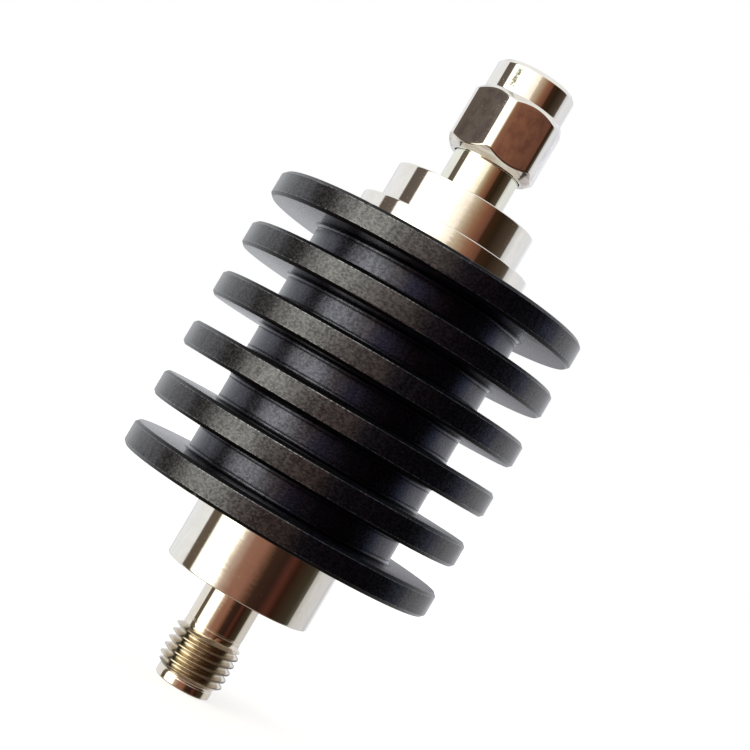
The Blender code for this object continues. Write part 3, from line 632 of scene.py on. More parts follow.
def rounded(corners: Array, rounds: Any, steps: int = 3, fill: int = 0,
            closed: bool = True) -> tuple[Array, Array]:
    """An outline with its corners rounded.

    With u and v the unit vectors from a corner to its neighbours and 2 h the angle between
    them, the arc starts and ends t = R / tan(h) from the corner, and its centre lies
    t / cos(h) along u + v. Where two arcs are too long for the side between them, each
    takes its share of 0.9 of the side. A point of the arc is the centre plus the turn from
    one end to the other. A further point beside each arc keeps the shading flat.

    Args:
        corners: (radius, station) of each corner, in the last two of any number of axes.
        rounds: the radius R of each corner, or one for all.
        steps: straight edges in an arc.
        fill: further points, evenly along each straight side.
        closed: whether the last corner joins the first. If not, these two stay as they are.

    Returns:
        The outline's points, and a mark of 1 on the arcs of the corners that stick out.
    """
    rounds = np.broadcast_to(np.asarray(rounds, float), corners.shape[:-1])
    side_a = np.roll(corners, 1, axis=-2) - corners
    side_b = np.roll(corners, -1, axis=-2) - corners
    length_a = np.linalg.norm(side_a, axis=-1)
    length_b = np.linalg.norm(side_b, axis=-1)
    u = side_a / length_a[..., None]
    v = side_b / length_b[..., None]
    half = np.arccos(np.clip((u * v).sum(-1), -0.999999, 0.999999)) / 2
    wanted = rounds / np.tan(half)
    room_a = 0.9 * length_a * wanted / (wanted + np.roll(wanted, 1, axis=-1))
    room_b = 0.9 * length_b * wanted / (wanted + np.roll(wanted, -1, axis=-1))
    cut = np.minimum(wanted, np.minimum(room_a, room_b))
    gap_a = length_a - cut - np.roll(cut, 1, axis=-1)
    gap_b = length_b - cut - np.roll(cut, -1, axis=-1)
    middle = (u + v) / np.linalg.norm(u + v, axis=-1, keepdims=True)
    centre = corners + middle * (cut / np.cos(half))[..., None]
    start = corners + u * cut[..., None] - centre
    end = corners + v * cut[..., None] - centre
    turn = (math.pi - 2 * half)[..., None, None]
    share = np.linspace(0.0, 1.0, steps + 1)[:, None]
    arc = np.sin((1 - share) * turn) * start[..., None, :] + np.sin(share * turn) * end[..., None, :]
    arc = arc / np.sin(turn) + centre[..., None, :]
    lead = corners + u * (cut + np.minimum(0.5 * cut, 0.3 * gap_a))[..., None]
    tail = corners + v * (cut + np.minimum(0.5 * cut, 0.3 * gap_b))[..., None]
    next_lead = np.roll(lead, -1, axis=-2)
    between = np.linspace(0.0, 1.0, fill + 2)[1:-1, None]
    sides = tail[..., None, :] * (1 - between) + next_lead[..., None, :] * between
    points = np.concatenate([lead[..., None, :], arc, tail[..., None, :], sides], axis=-2)
    sticks_out = (v[..., 0] * u[..., 1] - u[..., 0] * v[..., 1]) < 0
    mark = np.zeros(points.shape[:-1])
    mark[..., 1:steps + 2] = sticks_out[..., None]
    if not closed:
        points, mark = points[..., 1:-1, :, :], mark[..., 1:-1, :]
    points = points.reshape(*corners.shape[:-2], -1, 2)
    mark = mark.reshape(*corners.shape[:-2], -1)
    if not closed:
        points = np.concatenate([corners[..., :1, :], points, corners[..., -1:, :]], axis=-2)
        zero = np.zeros((*mark.shape[:-1], 1))
        mark = np.concatenate([zero, mark, zero], axis=-1)
    return points, mark


def carried_round(outline: Array, angles: Array) -> Array:
    """Points of an outline carried round the axis: x = r cos a, y = r sin a, z = station.

    Args:
        outline: (radius, station) points, one outline for all angles or one for each.
        angles: the angles, in radians.

    Returns:
        An array of angles by points by 3.
    """
    outline = np.broadcast_to(outline, (len(angles), *outline.shape[-2:]))
    radius = outline[..., 0]
    turn = angles[:, None]
    return np.stack([radius * np.cos(turn), radius * np.sin(turn), outline[..., 1]], axis=-1)


class Ends(Enum):
    """How the surface of a grid is closed along its outline and round the axis."""

    RING = "outline closed, whole turn"
    POLES = "outline from axis to axis, whole turn"
    CAPPED = "outline closed, part of a turn with a flat cap at each end"


def placed(name: str, data: Any) -> Piece:
    """A new object at the origin of the scene."""
    piece = bpy.data.objects.new(name, data)
    bpy.context.scene.collection.objects.link(piece)
    return piece


def skin(name: str, grid: Array, mark: Array, ends: Ends = Ends.RING) -> Piece:
    """A mesh over a grid of points, with its faces pointing out.

    The outline runs down the outside and up the bore, and the angle grows, so each quad
    takes a point, the next one down, that one's neighbour and the point's neighbour.

    Args:
        name: the piece's name.
        grid: an array of angles by points by 3, in millimetres.
        mark: the outer edges' mark, for each point of the outline or of the grid.
        ends: how the surface is closed.

    Returns:
        The new object, at the origin.
    """
    columns, rows = grid.shape[:2]
    index = np.arange(columns * rows).reshape(columns, rows)
    right = np.roll(index, -1, axis=0)
    if ends is Ends.CAPPED:
        index_a, index_d = index[:-1], right[:-1]
    else:
        index_a, index_d = index, right
    extra: list[list[int]] = []
    if ends is Ends.POLES:
        first, last = index[0, 0], index[0, -1]
        quads = np.stack([index_a[:, 1:-2], index_a[:, 2:-1], index_d[:, 2:-1], index_d[:, 1:-2]], axis=-1)
        top = np.stack([np.full(columns, first), index[:, 1], right[:, 1]], axis=-1)
        foot = np.stack([index[:, -2], np.full(columns, last), right[:, -2]], axis=-1)
        extra = top.tolist() + foot.tolist()
    else:
        below_a, below_d = np.roll(index_a, -1, axis=1), np.roll(index_d, -1, axis=1)
        quads = np.stack([index_a, below_a, below_d, index_d], axis=-1)
        if ends is Ends.CAPPED:
            extra = [index[0, ::-1].tolist(), index[-1].tolist()]
    mesh = bpy.data.meshes.new(name)
    mesh.from_pydata((grid.reshape(-1, 3) * MM).tolist(), [], quads.reshape(-1, 4).tolist() + extra)
    attribute = mesh.attributes.new(EDGE_MARK, "FLOAT", "POINT")
    attribute.data.foreach_set("value", np.broadcast_to(mark, (columns, rows)).astype(np.float32).ravel())
    if ends is Ends.POLES:
        drop_loose_points(mesh)
    mesh.shade_smooth()
    return placed(name, mesh)


def turned(name: str, corners: Array, rounds: float, steps: int, columns: int,
           ends: Ends = Ends.RING) -> Piece:
    """A turned piece: an outline with rounded corners, carried round the axis.

    Args:
        name: the piece's name.
        corners: (radius, station) of each corner, down the outside and up the bore.
        rounds: the radius of the corners.
        steps: straight edges in each corner's arc.
        columns: how often the outline is repeated in a turn.
        ends: how the surface is closed.

    Returns:
        The new object, at the origin.
    """
    points, mark = rounded(corners, rounds, steps, fill=1, closed=ends is not Ends.POLES)
    return skin(name, carried_round(points, even_angles(columns)), mark, ends)


def drop_loose_points(mesh: bpy.types.Mesh) -> None:
    """Remove the points at the poles that no face uses."""
    work = bmesh.new()
    work.from_mesh(mesh)
    loose = [vertex for vertex in work.verts if not vertex.link_faces]
    bmesh.ops.delete(work, geom=loose, context="VERTS")
    work.to_mesh(mesh)
    work.free()


def sawn(piece: Piece, slots: list[tuple[Array, Array]]) -> None:
    """Cut straight slots into a piece.

    Args:
        piece: the piece, whose mesh becomes the cut one.
        slots: the lowest and highest corner of each slot, in millimetres.
    """
    cutters = []
    for low, high in slots:
        mesh = bpy.data.meshes.new("slot")
        box = bmesh.new()
        bmesh.ops.create_cube(box, size=1.0)
        bmesh.ops.scale(box, vec=(high - low) * MM, verts=box.verts)
        bmesh.ops.translate(box, vec=(high + low) / 2 * MM, verts=box.verts)
        box.to_mesh(mesh)
        box.free()
        cutter = placed("slot", mesh)
        cutters.append(cutter)
        cut = piece.modifiers.new("slot", "BOOLEAN")
        cut.solver = "EXACT"
        cut.object = cutter
    graph = bpy.context.evaluated_depsgraph_get()
    mesh = bpy.data.meshes.new_from_object(piece.evaluated_get(graph))
    piece.modifiers.clear()
    piece.data = mesh
    mesh.name = piece.name
    mesh.set_sharp_from_angle(angle=math.radians(35.0))
    for cutter in cutters:
        bpy.data.objects.remove(cutter, do_unlink=True)


@dataclass(frozen=True)
class Thread:
    """A right-hand screw thread with rounded crests and roots.

    The radius at angle a and station z is root + height · f(w), where w is the part of
    z / pitch - a / one turn + start after the point, and f falls from 1 on a crest, w = 0.5, to 0
    in a root along two straight flanks whose ends are eased.
    """

    crest: float
    root: float
    pitch: float = 0.7056
    flat: float = 0.06
    start: float = 0.5

    def radius(self, angles: Array, stations: Array) -> Array:
        """The radius at each angle, in radians, and each station: an array of angles by stations."""
        wave = stations / self.pitch - angles[:, None] / FULL_TURN + self.start
        off_crest = np.abs(wave - np.floor(wave) - 0.5)
        rise = np.clip((0.5 - off_crest - self.flat) / (0.5 - 2 * self.flat), 0.0, 1.0)
        eased = 0.7 * rise + 0.3 * rise * rise * (3 - 2 * rise)
        return self.root + (self.crest - self.root) * eased

    def rows(self, angles: Array, stations: Array, cones: tuple[Array, Array]) -> Array:
        """The thread's (radius, station) points, an array of angles by stations by 2.

        The cones are the radii of its two tapered ends. A thread outside stays within both
        of them, and a thread in a bore stays outside both.
        """
        nearer = np.minimum if self.crest > self.root else np.maximum
        radius = reduce(nearer, cones, self.radius(angles, stations))
        return np.stack([radius, np.broadcast_to(stations, radius.shape)], axis=-1)


def span(node: str) -> tuple[float, float, float]:
    """Lowest station, highest station and outer radius of a CAD node, in millimetres."""
    low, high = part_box(node)
    return low.z / MM, high.z / MM, high.x / MM


# Sub-assemblies


class SubAssembly:
    """A group of pieces that is built, dressed and carried together."""

    def build(self) -> None:
        """Build and dress every piece of the group."""
        raise NotImplementedError

    @staticmethod
    def body_of(node: str) -> str:
        """The CAD body that a node belongs to."""
        bodies = frame["record"]["behaviour"]["bodies"]
        return next(body for body, nodes in bodies.items() if node in nodes)

    def dress(self, piece: Piece, node: str, finish: Finish) -> None:
        """Give a new piece its finish, let it stand for its CAD node and ride on the node's body."""
        piece.data.materials.clear()
        piece.data.materials.append(finish.material())
        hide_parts(node)
        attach(piece, self.body_of(node))
        log.info("%s: %d points for %s in %s", piece.name, len(piece.data.vertices), node, finish.name)

    @staticmethod
    def dress_node(node: str, finish: Finish) -> None:
        """Give a CAD node a finish on its own mesh."""
        for slot in frame["nodes"][node].material_slots:
            slot.material = finish.material()
        log.info("%s: CAD solid in %s", node, finish.name)


@dataclass
class Nick:
    """A small dent in an outer edge of the heat sink, at a bearing in degrees."""

    bearing: float
    station: float
    width: float
    depth: float

    @property
    def angle(self) -> float:
        """The bearing in radians."""
        return math.radians(self.bearing)


@dataclass
class HeatSink(SubAssembly):
    """Six round fins on a core, turned from one bar."""

    fin_count: int = 6
    fin_thickness: float = 2.35
    edge_chamfer: float = 0.30
    edge_round: float = 0.07
    root_fillet: float = 0.34
    core_radius: float = 10.0
    bead_height: float = 0.045
    bead_width: float = 0.14
    bead_inset: float = 0.36
    bore_radius: float = 6.0
    bead_round: float = 0.03
    bore_round: float = 0.10
    columns: int = 176
    nicks: tuple[Nick, ...] = (
        Nick(242.8, 0.0, width=0.50, depth=0.16), Nick(281.0, 27.0, width=0.30, depth=0.07),
        Nick(244.0, 27.0, width=0.55, depth=0.09), Nick(268.0, 9.5, width=0.22, depth=0.06),
        Nick(216.5, 0.5, width=0.30, depth=0.06), Nick(120.0, 12.2, width=0.35, depth=0.08),
    )

    def build(self) -> None:
        """Build the turned surface with its nicks and anodise it."""
        low, high, fin_radius = span("heat_sink")
        points, mark = self.outline(low, high, fin_radius)
        angles = self.angles(fin_radius)
        grid = self.nicked(carried_round(points, angles), angles, low, fin_radius)
        self.dress(skin("finned_sink", grid, mark), "heat_sink", ANODISED)

    def outline(self, low: float, high: float, fin_radius: float) -> tuple[Array, Array]:
        """Down the fins from the top one, then up the bore.

        A fin's six corners are the top root, the chamfer's ends at the top and at the foot,
        and the lower root. The tool has left a fine bead on the core beside each root, three
        corners more. Adding the fin's station to them gives the next fin.
        """
        inner = fin_radius - self.edge_chamfer
        thick = self.fin_thickness
        core, proud = self.core_radius, self.core_radius + self.bead_height
        near, far = self.bead_inset, self.bead_inset + self.bead_width
        top = (near + far) / 2
        fin = np.array([
            (core, thick + far), (proud, thick + top), (core, thick + near),
            (core, thick), (inner, thick), (fin_radius, thick - self.edge_chamfer),
            (fin_radius, self.edge_chamfer), (inner, 0.0), (core, 0.0),
            (core, -near), (proud, -top), (core, -far),
        ])
        beads = 3 * [self.bead_round]
        rounds = np.array(beads + [self.root_fillet] + 4 * [self.edge_round] + [self.root_fillet] + beads)
        feet = np.linspace(high - thick, low, self.fin_count)
        fins = fin + np.stack([np.zeros(self.fin_count), feet], axis=-1)[:, None, :]
        ends = slice(4, -4)
        down = fins.reshape(-1, 2)[ends]
        bore = np.array([(self.bore_radius, low), (self.bore_radius, high)])
        all_rounds = np.concatenate([np.tile(rounds, self.fin_count)[ends], 2 * [self.bore_round]])
        return rounded(np.concatenate([down, bore]), all_rounds, steps=3)

    def angles(self, fin_radius: float) -> Array:
        """Even angles, and closer ones across each nick."""
        reach = np.linspace(-1.5, 1.5, 11)
        near = [nick.angle + reach * nick.width / fin_radius for nick in self.nicks]
        return np.unique(np.round(np.concatenate([even_angles(self.columns), *near]), 5))

    def nicked(self, grid: Array, angles: Array, low: float, fin_radius: float) -> Array:
        """Push the surface in at each nick.

        The radius shrinks by depth · exp(-(a / w)² - (z / w)²), where a and z are the
        distances round the rim and along the axis from the nick's middle and w is half
        the nick's width, for the points near the rim.
        """
        radius = np.hypot(grid[..., 0], grid[..., 1])
        shrink = np.zeros_like(radius)
        for nick in self.nicks:
            half = nick.width / 2
            around = (angles[:, None] - nick.angle) * fin_radius / half
            along = (grid[..., 2] - low - nick.station) / half
            near_rim = radius > fin_radius - 2 * self.edge_chamfer
            shrink += nick.depth * np.exp(-around**2 - along**2) * near_rim
        scale = 1 - shrink / radius
        return np.stack([grid[..., 0] * scale, grid[..., 1] * scale, grid[..., 2]], axis=-1)


@dataclass
class EndCaps(SubAssembly):
    """The two nickel caps, each with a spigot in the heat sink's bore."""

    spigot: float = 3.0
    spigot_radius: float = 5.97
    flange_radius: float = 4.03
    plug_neck: float = 3.18
    socket_neck: float = 2.68
    collar_radius: float = 6.70
    collar_length: float = 3.60
    edge: float = 0.12
    columns: int = 256

    def build(self) -> None:
        """Build both caps and plate them."""
        for name, node, corners in (
            ("plug_end_cap", "male_end_cap", self.plug_corners()),
            ("socket_end_cap", "female_end_cap", self.socket_corners()),
        ):
            self.dress(turned(name, corners, self.edge, 4, self.columns), node, CAP_NICKEL)

    def plug_corners(self) -> Array:
        """Down the collar and the step to the seat on the heat sink, then down the spigot and up the bore."""
        low, high, step_radius = span("male_end_cap")
        _, seat, _ = span("heat_sink")
        step_top = high - self.collar_length
        return np.array([
            (self.collar_radius, high), (self.collar_radius, step_top), (step_radius, step_top),
            (step_radius, seat), (self.spigot_radius, seat), (self.spigot_radius, low),
            (self.flange_radius, low), (self.flange_radius, high - CAP_WEB),
            (self.plug_neck, high - CAP_WEB), (self.plug_neck, high),
        ])

    def socket_corners(self) -> Array:
        """Down the spigot to the seat on the heat sink, down the cap and up the bore."""
        low, high, cap_radius = span("female_end_cap")
        seat = high - self.spigot
        return np.array([
            (self.spigot_radius, high), (self.spigot_radius, seat), (cap_radius, seat),
            (cap_radius, low), (self.socket_neck, low), (self.socket_neck, low + CAP_WEB),
            (self.flange_radius, low + CAP_WEB), (self.flange_radius, high),
        ])


@dataclass
class Contact:
    """Sizes that a centre contact and its bush share."""

    radius: float = 0.635
    barb_height: float = 0.20
    barb_length: float = 0.60
    clearance: float = 0.03
    barb_inset: float = 3.0
    tab_slot: float = 0.19
    tab_slot_depth: float = 1.2
    slot_overrun: float = 1.0
    slot_reach: float = 2.0
    edge: float = 0.025
    columns: int = 96

    def barb(self, middle: float, grow: float = 0.0) -> Array:
        """Down the barb, or down the groove round it when it grows by a clearance."""
        inner = self.radius + grow
        outer = inner + self.barb_height
        top, foot = middle + self.barb_length / 2 + grow, middle - self.barb_length / 2 - grow
        return np.array([(inner, top), (outer, top), (outer, foot), (inner, foot)])

    def bush(self, name: str, node: str, barb_middle: float) -> Piece:
        """A turned bush with the barb's groove in its bore."""
        low, high, outer = span(node)
        inner = self.radius + self.clearance
        groove = self.barb(barb_middle, self.clearance)[::-1]
        corners = np.concatenate([[(outer, high), (outer, low), (inner, low)], groove, [(inner, high)]])
        return turned(name, corners, self.edge, 2, self.columns)

    def slot_at(self, station: float, direction: float) -> tuple[Array, Array]:
        """The slot for a contact tab, from the contact's inner end."""
        ends = sorted((station - direction * self.slot_overrun, station + direction * self.tab_slot_depth))
        half = self.tab_slot / 2
        return np.array([-self.slot_reach, -half, ends[0]]), np.array([self.slot_reach, half, ends[1]])


@dataclass
class SocketConnector(SubAssembly):
    """The threaded socket: its body, bush and four-fingered contact."""

    contact: Contact = field(default_factory=Contact)
    neck_radius: float = 2.65
    mouth_radius: float = 2.325
    mouth_depth: float = 1.9
    bush_radius: float = 2.05
    lead_in_radius: float = 2.625
    lead_in_length: float = 0.95
    thread_length: float = 4.15
    thread: Thread = Thread(crest=3.125, root=2.63)
    rows_per_turn: int = 30
    end_slope: float = 1.15
    ring_over_thread: float = 0.55
    ring_depth: float = 0.05
    run_out_depth: float = 0.03
    run_out_length: float = 0.20
    run_out_slope: float = 0.05
    rim_chamfer: float = 0.10
    mouth_chamfer: tuple[float, float] = (0.06, 0.08)
    finger_bore: float = 0.475
    finger_depth: float = 3.0
    finger_slot: float = 0.16
    finger_slot_depth: float = 2.4
    edge: float = 0.03
    contact_edge: float = 0.04
    columns: int = 192

    def build(self) -> None:
        """Build the body, the bush and the contact."""
        self.dress(self.body(), "female_connector_body", SOCKET_NICKEL)
        _, bush_top, _ = span("female_insulator")
        barb_middle = bush_top - self.contact.barb_inset
        bush = self.contact.bush("socket_bush", "female_insulator", barb_middle)
        self.dress(bush, "female_insulator", WHITE_BUSH)
        self.dress(self.centre_contact(barb_middle), "female_centre_socket", GOLD)

    def body(self) -> Piece:
        """Flange, neck with its fine ring, thread, lead-in and bore.

        The outline comes in two runs, above and below the thread, and between them the
        thread's rows take their radius from the thread's formula.
        """
        low, high, flange_radius = span("female_connector_body")
        thread_top = self.lead_in_length + self.thread_length
        flange = span("female_end_cap")[0] + CAP_WEB + SEAT_GAP
        ring = thread_top + self.ring_over_thread
        neck, depth = self.neck_radius, self.ring_depth
        above = np.array([
            (self.bush_radius, high), (flange_radius, high), (flange_radius, flange), (neck, flange),
            (neck, ring + 2 * depth), (neck - depth, ring + depth), (neck - depth, ring - depth),
            (neck, ring - 2 * depth), (neck, thread_top),
        ])
        lead_in, run_out = self.lead_in_radius, self.lead_in_radius - self.run_out_depth
        run_out_foot = self.lead_in_length - self.run_out_length
        mouth_out, mouth_in = self.mouth_chamfer
        below = np.array([
            (run_out, self.lead_in_length), (run_out, run_out_foot),
            (lead_in, run_out_foot - self.run_out_slope), (lead_in, low + self.rim_chamfer),
            (lead_in - self.rim_chamfer, low), (self.mouth_radius + mouth_out, low),
            (self.mouth_radius, low + mouth_in), (self.mouth_radius, self.mouth_depth),
            (self.bush_radius, self.mouth_depth), (self.bush_radius, high),
        ])
        upper, upper_mark = rounded(above, self.edge, steps=3, fill=1, closed=False)
        lower, lower_mark = rounded(below, self.edge, steps=3, fill=1, closed=False)
        rows = round(self.thread_length / self.thread.pitch * self.rows_per_turn)
        stations = np.linspace(thread_top, self.lead_in_length, rows + 2)[1:-1]
        top_cone = neck + (thread_top - stations) * self.end_slope
        foot_cone = run_out + (stations - self.lead_in_length) * self.end_slope
        angles = even_angles(self.columns)
        threaded = self.thread.rows(angles, stations, (top_cone, foot_cone))
        over, under = (np.broadcast_to(run, (self.columns, *run.shape)) for run in (upper, lower[:-1]))
        outline = np.concatenate([over, threaded, under], axis=1)
        mark = np.concatenate([upper_mark, np.zeros(rows), lower_mark[:-1]])
        return skin("socket_body", carried_round(outline, angles), mark)

    def centre_contact(self, barb_middle: float) -> Piece:
        """Turned contact, bored at its mouth and slotted into four fingers."""
        low, high, _ = span("female_centre_socket")
        size = self.contact
        floor = low + self.finger_depth
        corners = np.concatenate([
            [(0.0, high), (size.radius, high)], size.barb(barb_middle),
            [(size.radius, low), (self.finger_bore, low), (self.finger_bore, floor), (0.0, floor)],
        ])
        piece = turned("socket_contact", corners, self.contact_edge, 3, size.columns, Ends.POLES)
        half, reach = self.finger_slot / 2, size.slot_reach
        foot, top = low - size.slot_overrun, low + self.finger_slot_depth
        sawn(piece, [
            (np.array([-reach, -half, foot]), np.array([reach, half, top])),
            (np.array([-half, -reach, foot]), np.array([half, reach, top])),
            size.slot_at(high, -1.0),
        ])
        return piece


@dataclass
class PlugConnector(SubAssembly):
    """The plug: its body, bush, pin and gasket."""

    contact: Contact = field(default_factory=Contact)
    neck_radius: float = 3.15
    sleeve_radius: float = 2.29
    sleeve_length: float = 2.5
    bush_radius: float = 2.05
    groove_depth: float = 0.40
    groove_length: float = 0.66
    groove_station: float = 1.9
    pin_radius: float = 0.46
    point_radius: float = 0.18
    point_length: float = 0.60
    gasket_inner: float = 2.32
    gasket_round: float = 0.12
    gasket_columns: int = 128
    sleeve_chamfer: float = 0.08
    edge: float = 0.03
    pin_edge: float = 0.06
    columns: int = 192

    def build(self) -> None:
        """Build the body, the gasket, the bush and the pin."""
        self.dress(self.body(), "male_connector_body", PLUG_NICKEL)
        self.dress(self.gasket(), "nut_gasket", RED_SEAL)
        bush_low, _, _ = span("male_insulator")
        barb_middle = bush_low + self.contact.barb_inset
        self.dress(self.contact.bush("plug_bush", "male_insulator", barb_middle), "male_insulator", WHITE_BUSH)
        self.dress(self.pin(barb_middle), "male_centre_pin", GOLD)

    def body(self) -> Piece:
        """Down the sleeve, the neck with its ring groove and the flange, then up the bore."""
        low, high, flange_radius = span("male_connector_body")
        shoulder = high - self.sleeve_length
        groove = span("coupling_nut")[0] + self.groove_station
        groove_top = groove + self.groove_length
        flange = span("male_end_cap")[1] - CAP_WEB - SEAT_GAP
        inner = self.neck_radius - self.groove_depth
        corners = np.array([
            (self.bush_radius, high), (self.sleeve_radius - self.sleeve_chamfer, high),
            (self.sleeve_radius, high - self.sleeve_chamfer), (self.sleeve_radius, shoulder),
            (self.neck_radius, shoulder), (self.neck_radius, groove_top), (inner, groove_top), (inner, groove),
            (self.neck_radius, groove), (self.neck_radius, flange), (flange_radius, flange),
            (flange_radius, low), (self.bush_radius, low),
        ])
        return turned("plug_body", corners, self.edge, 3, self.columns)

    def gasket(self) -> Piece:
        """A moulded ring with well rounded edges."""
        low, high, outer = span("nut_gasket")
        corners = np.array([(outer, high), (outer, low), (self.gasket_inner, low), (self.gasket_inner, high)])
        return turned("plug_gasket", corners, self.gasket_round, 5, self.gasket_columns)

    def pin(self, barb_middle: float) -> Piece:
        """Turned pin with a tapered point, slotted for its tab at the inner end."""
        low, high, _ = span("male_centre_pin")
        size = self.contact
        bush_top = span("male_insulator")[1]
        corners = np.concatenate([
            [(0.0, high), (self.point_radius, high), (self.pin_radius, high - self.point_length),
             (self.pin_radius, bush_top), (size.radius, bush_top)],
            size.barb(barb_middle), [(size.radius, low), (0.0, low)],
        ])
        piece = turned("plug_pin", corners, self.pin_edge, 4, size.columns, Ends.POLES)
        sawn(piece, [size.slot_at(low, 1.0)])
        return piece


@dataclass
class CouplingNut(SubAssembly):
    """Hexagon nut with a round front collar, and the split ring that keeps it on the plug."""

    across_flats: float = 8.0
    corner_radius: float = 4.45
    flat_angle: float = math.radians(288.5)
    rear_radius: float = 3.65
    lip_radius: float = 3.25
    collar_radius: float = 3.785
    collar_length: float = 2.8
    cone_length: float = 0.68
    crown: float = 0.052
    crease: float = 0.022
    front_chamfer: float = 0.40
    groove_station: float = 1.9
    groove_length: float = 0.66
    groove_radius: float = 3.51
    relief_radius: float = 3.35
    relief_length: float = 1.3
    bore_length: float = 4.4
    mouth_chamfer: float = 0.30
    mouth_flare: float = 0.05
    bore_chamfer: float = 0.10
    thread_clearance: float = 0.06
    thread: Thread = Thread(crest=2.90, root=3.16)
    rows_per_turn: int = 16
    outer_rounds: tuple[float, ...] = (0.12, 0.14, 0.14, 0.24, 0.24, 0.10)
    edge: float = 0.03
    ring_inner: float = 2.83
    ring_round: float = 0.08
    ring_opening: float = 1.2
    ring_columns: int = 120

    def build(self) -> None:
        """Build the nut and its ring."""
        self.dress(self.nut(), "coupling_nut", NUT_NICKEL)
        self.dress(self.ring(), "nut_retaining_ring", BRONZE)

    def angles(self) -> Array:
        """Angles round the nut, close together where a flat meets a turned corner."""
        meet = math.acos(self.across_flats / 2 / self.corner_radius)
        near = math.radians(2.4)
        flat = np.linspace(near - meet, meet - near, 17)
        crease = np.linspace(meet - near, meet + near, 9)[1:]
        corner = np.linspace(meet + near, SIXTH_TURN - meet - near, 5)[1:]
        other = crease[:-1] - meet + SIXTH_TURN - meet
        sector = np.concatenate([flat, crease, corner, other])
        starts = self.flat_angle + np.arange(6) * SIXTH_TURN
        return np.sort(np.mod((starts[:, None] + sector[None, :]).ravel(), FULL_TURN))

    def outer_radius(self, angles: Array) -> Array:
        """Radius of the turned hexagon: the soft minimum of flat and turned corner.

        A flat lies at (across_flats / 2 + crown · (1 - (2.24 d)²)) / cos(d), where d is the
        angle from its middle, so that polishing has left it slightly round. The soft
        minimum is -k ln(exp(-flat / k) + exp(-corner / k)).
        minimum is -k ln(exp(-flat / k) + exp(-corner / k)), where k is the crease.
        """
        off = np.mod(angles - self.flat_angle + SIXTH_TURN / 2, SIXTH_TURN) - SIXTH_TURN / 2
        flat = (self.across_flats / 2 + self.crown * (1 - (2.24 * off) ** 2)) / np.cos(off)
        least = np.minimum(flat, self.corner_radius)
        spare = np.exp(-np.abs(flat - self.corner_radius) / self.crease)
        return least - self.crease * np.log1p(spare)

    def nut(self) -> Piece:
        """Down the collar, the front cone, the hexagon and the rear cone, then up the bore.

        The thread's rows take the place of the corner at the foot of the thread.
        """
        low, high, _ = span("coupling_nut")
        angles = self.angles()
        radius = self.outer_radius(angles)
        cone_top = high - self.collar_length
        slope = self.cone_length / (self.corner_radius - self.collar_radius)
        cone_foot = cone_top - (radius - self.collar_radius) * slope
        rear_foot = low + radius - self.rear_radius
        bore = high - self.bore_length
        relief = bore - self.relief_length
        groove = low + self.groove_station
        groove_top = groove + self.groove_length
        root, mouth = self.thread.root, high - self.mouth_chamfer
        thread_foot = bore + self.bore_chamfer
        corners = [
            (self.collar_radius - self.front_chamfer, high), (self.collar_radius, high - self.front_chamfer),
            (self.collar_radius, cone_top), (radius, cone_foot), (radius, rear_foot), (self.rear_radius, low),
            (self.lip_radius, low), (self.lip_radius, groove), (self.groove_radius, groove),
            (self.groove_radius, groove_top), (self.lip_radius, groove_top), (self.lip_radius, relief),
            (self.relief_radius, relief), (self.relief_radius, bore), (root - self.bore_chamfer, bore),
            (root, thread_foot), (root, mouth), (root + self.mouth_flare, high),
        ]
        same = np.ones_like(radius)
        points = np.stack([np.stack([r * same, z * same], axis=-1) for r, z in corners], axis=1)
        rounds = np.full(len(corners), self.edge)
        rounds[:len(self.outer_rounds)] = self.outer_rounds
        outline, mark = rounded(points, rounds, steps=4, fill=1)
        per_corner = outline.shape[1] // len(corners)
        after = per_corner * (len(corners) - 2)
        before = after - per_corner
        rows = round((mouth - bore) / self.thread.pitch * self.rows_per_turn)
        stations = np.linspace(thread_foot + self.thread_clearance, mouth - self.thread_clearance, rows)
        cones = root - (stations - thread_foot), root - (mouth - stations)
        threaded = self.thread.rows(angles, stations, cones)
        outline = np.concatenate([outline[:, :before], threaded, outline[:, after:]], axis=1)
        mark = np.concatenate([mark[:, :before], np.zeros((len(angles), rows)), mark[:, after:]], axis=1)
        return skin("hexagon_nut", carried_round(outline, angles), mark)

    def ring(self) -> Piece:
        """Split ring of rounded square wire."""
        low, high, outer = span("nut_retaining_ring")
        corners = np.array([(outer, high), (outer, low), (self.ring_inner, low), (self.ring_inner, high)])
        points, mark = rounded(corners, self.ring_round, steps=4)
        opening = self.ring_opening / 2 / outer
        angles = math.pi / 2 + np.linspace(opening, FULL_TURN - opening, self.ring_columns)
        return skin("nut_keeper_ring", carried_round(points, angles), mark, Ends.CAPPED)


@dataclass
class ChipAssembly(SubAssembly):
    """The attenuator chip, what touches it and the two halves of its carrier."""

    finishes: dict[str, Finish] = field(default_factory=lambda: {
        "carrier_lower": BARE_ALUMINIUM,
        "carrier_upper": BARE_ALUMINIUM,
        "attenuator_chip": CHIP_CERAMIC,
        "resistor_film": FILM_PRINT,
        "male_end_terminal": SILVER_PRINT,
        "female_end_terminal": SILVER_PRINT,
        "ground_edge_left": SILVER_PRINT,
        "ground_edge_right": SILVER_PRINT,
        "ground_spring_left": BRONZE,
        "ground_spring_right": BRONZE,
        "male_contact_tab": GOLD,
        "female_contact_tab": GOLD,
    })

    def build(self) -> None:
        """Finish the solids inside the heat sink."""
        for node, finish in self.finishes.items():
            self.dress_node(node, finish)


# Camera and studio


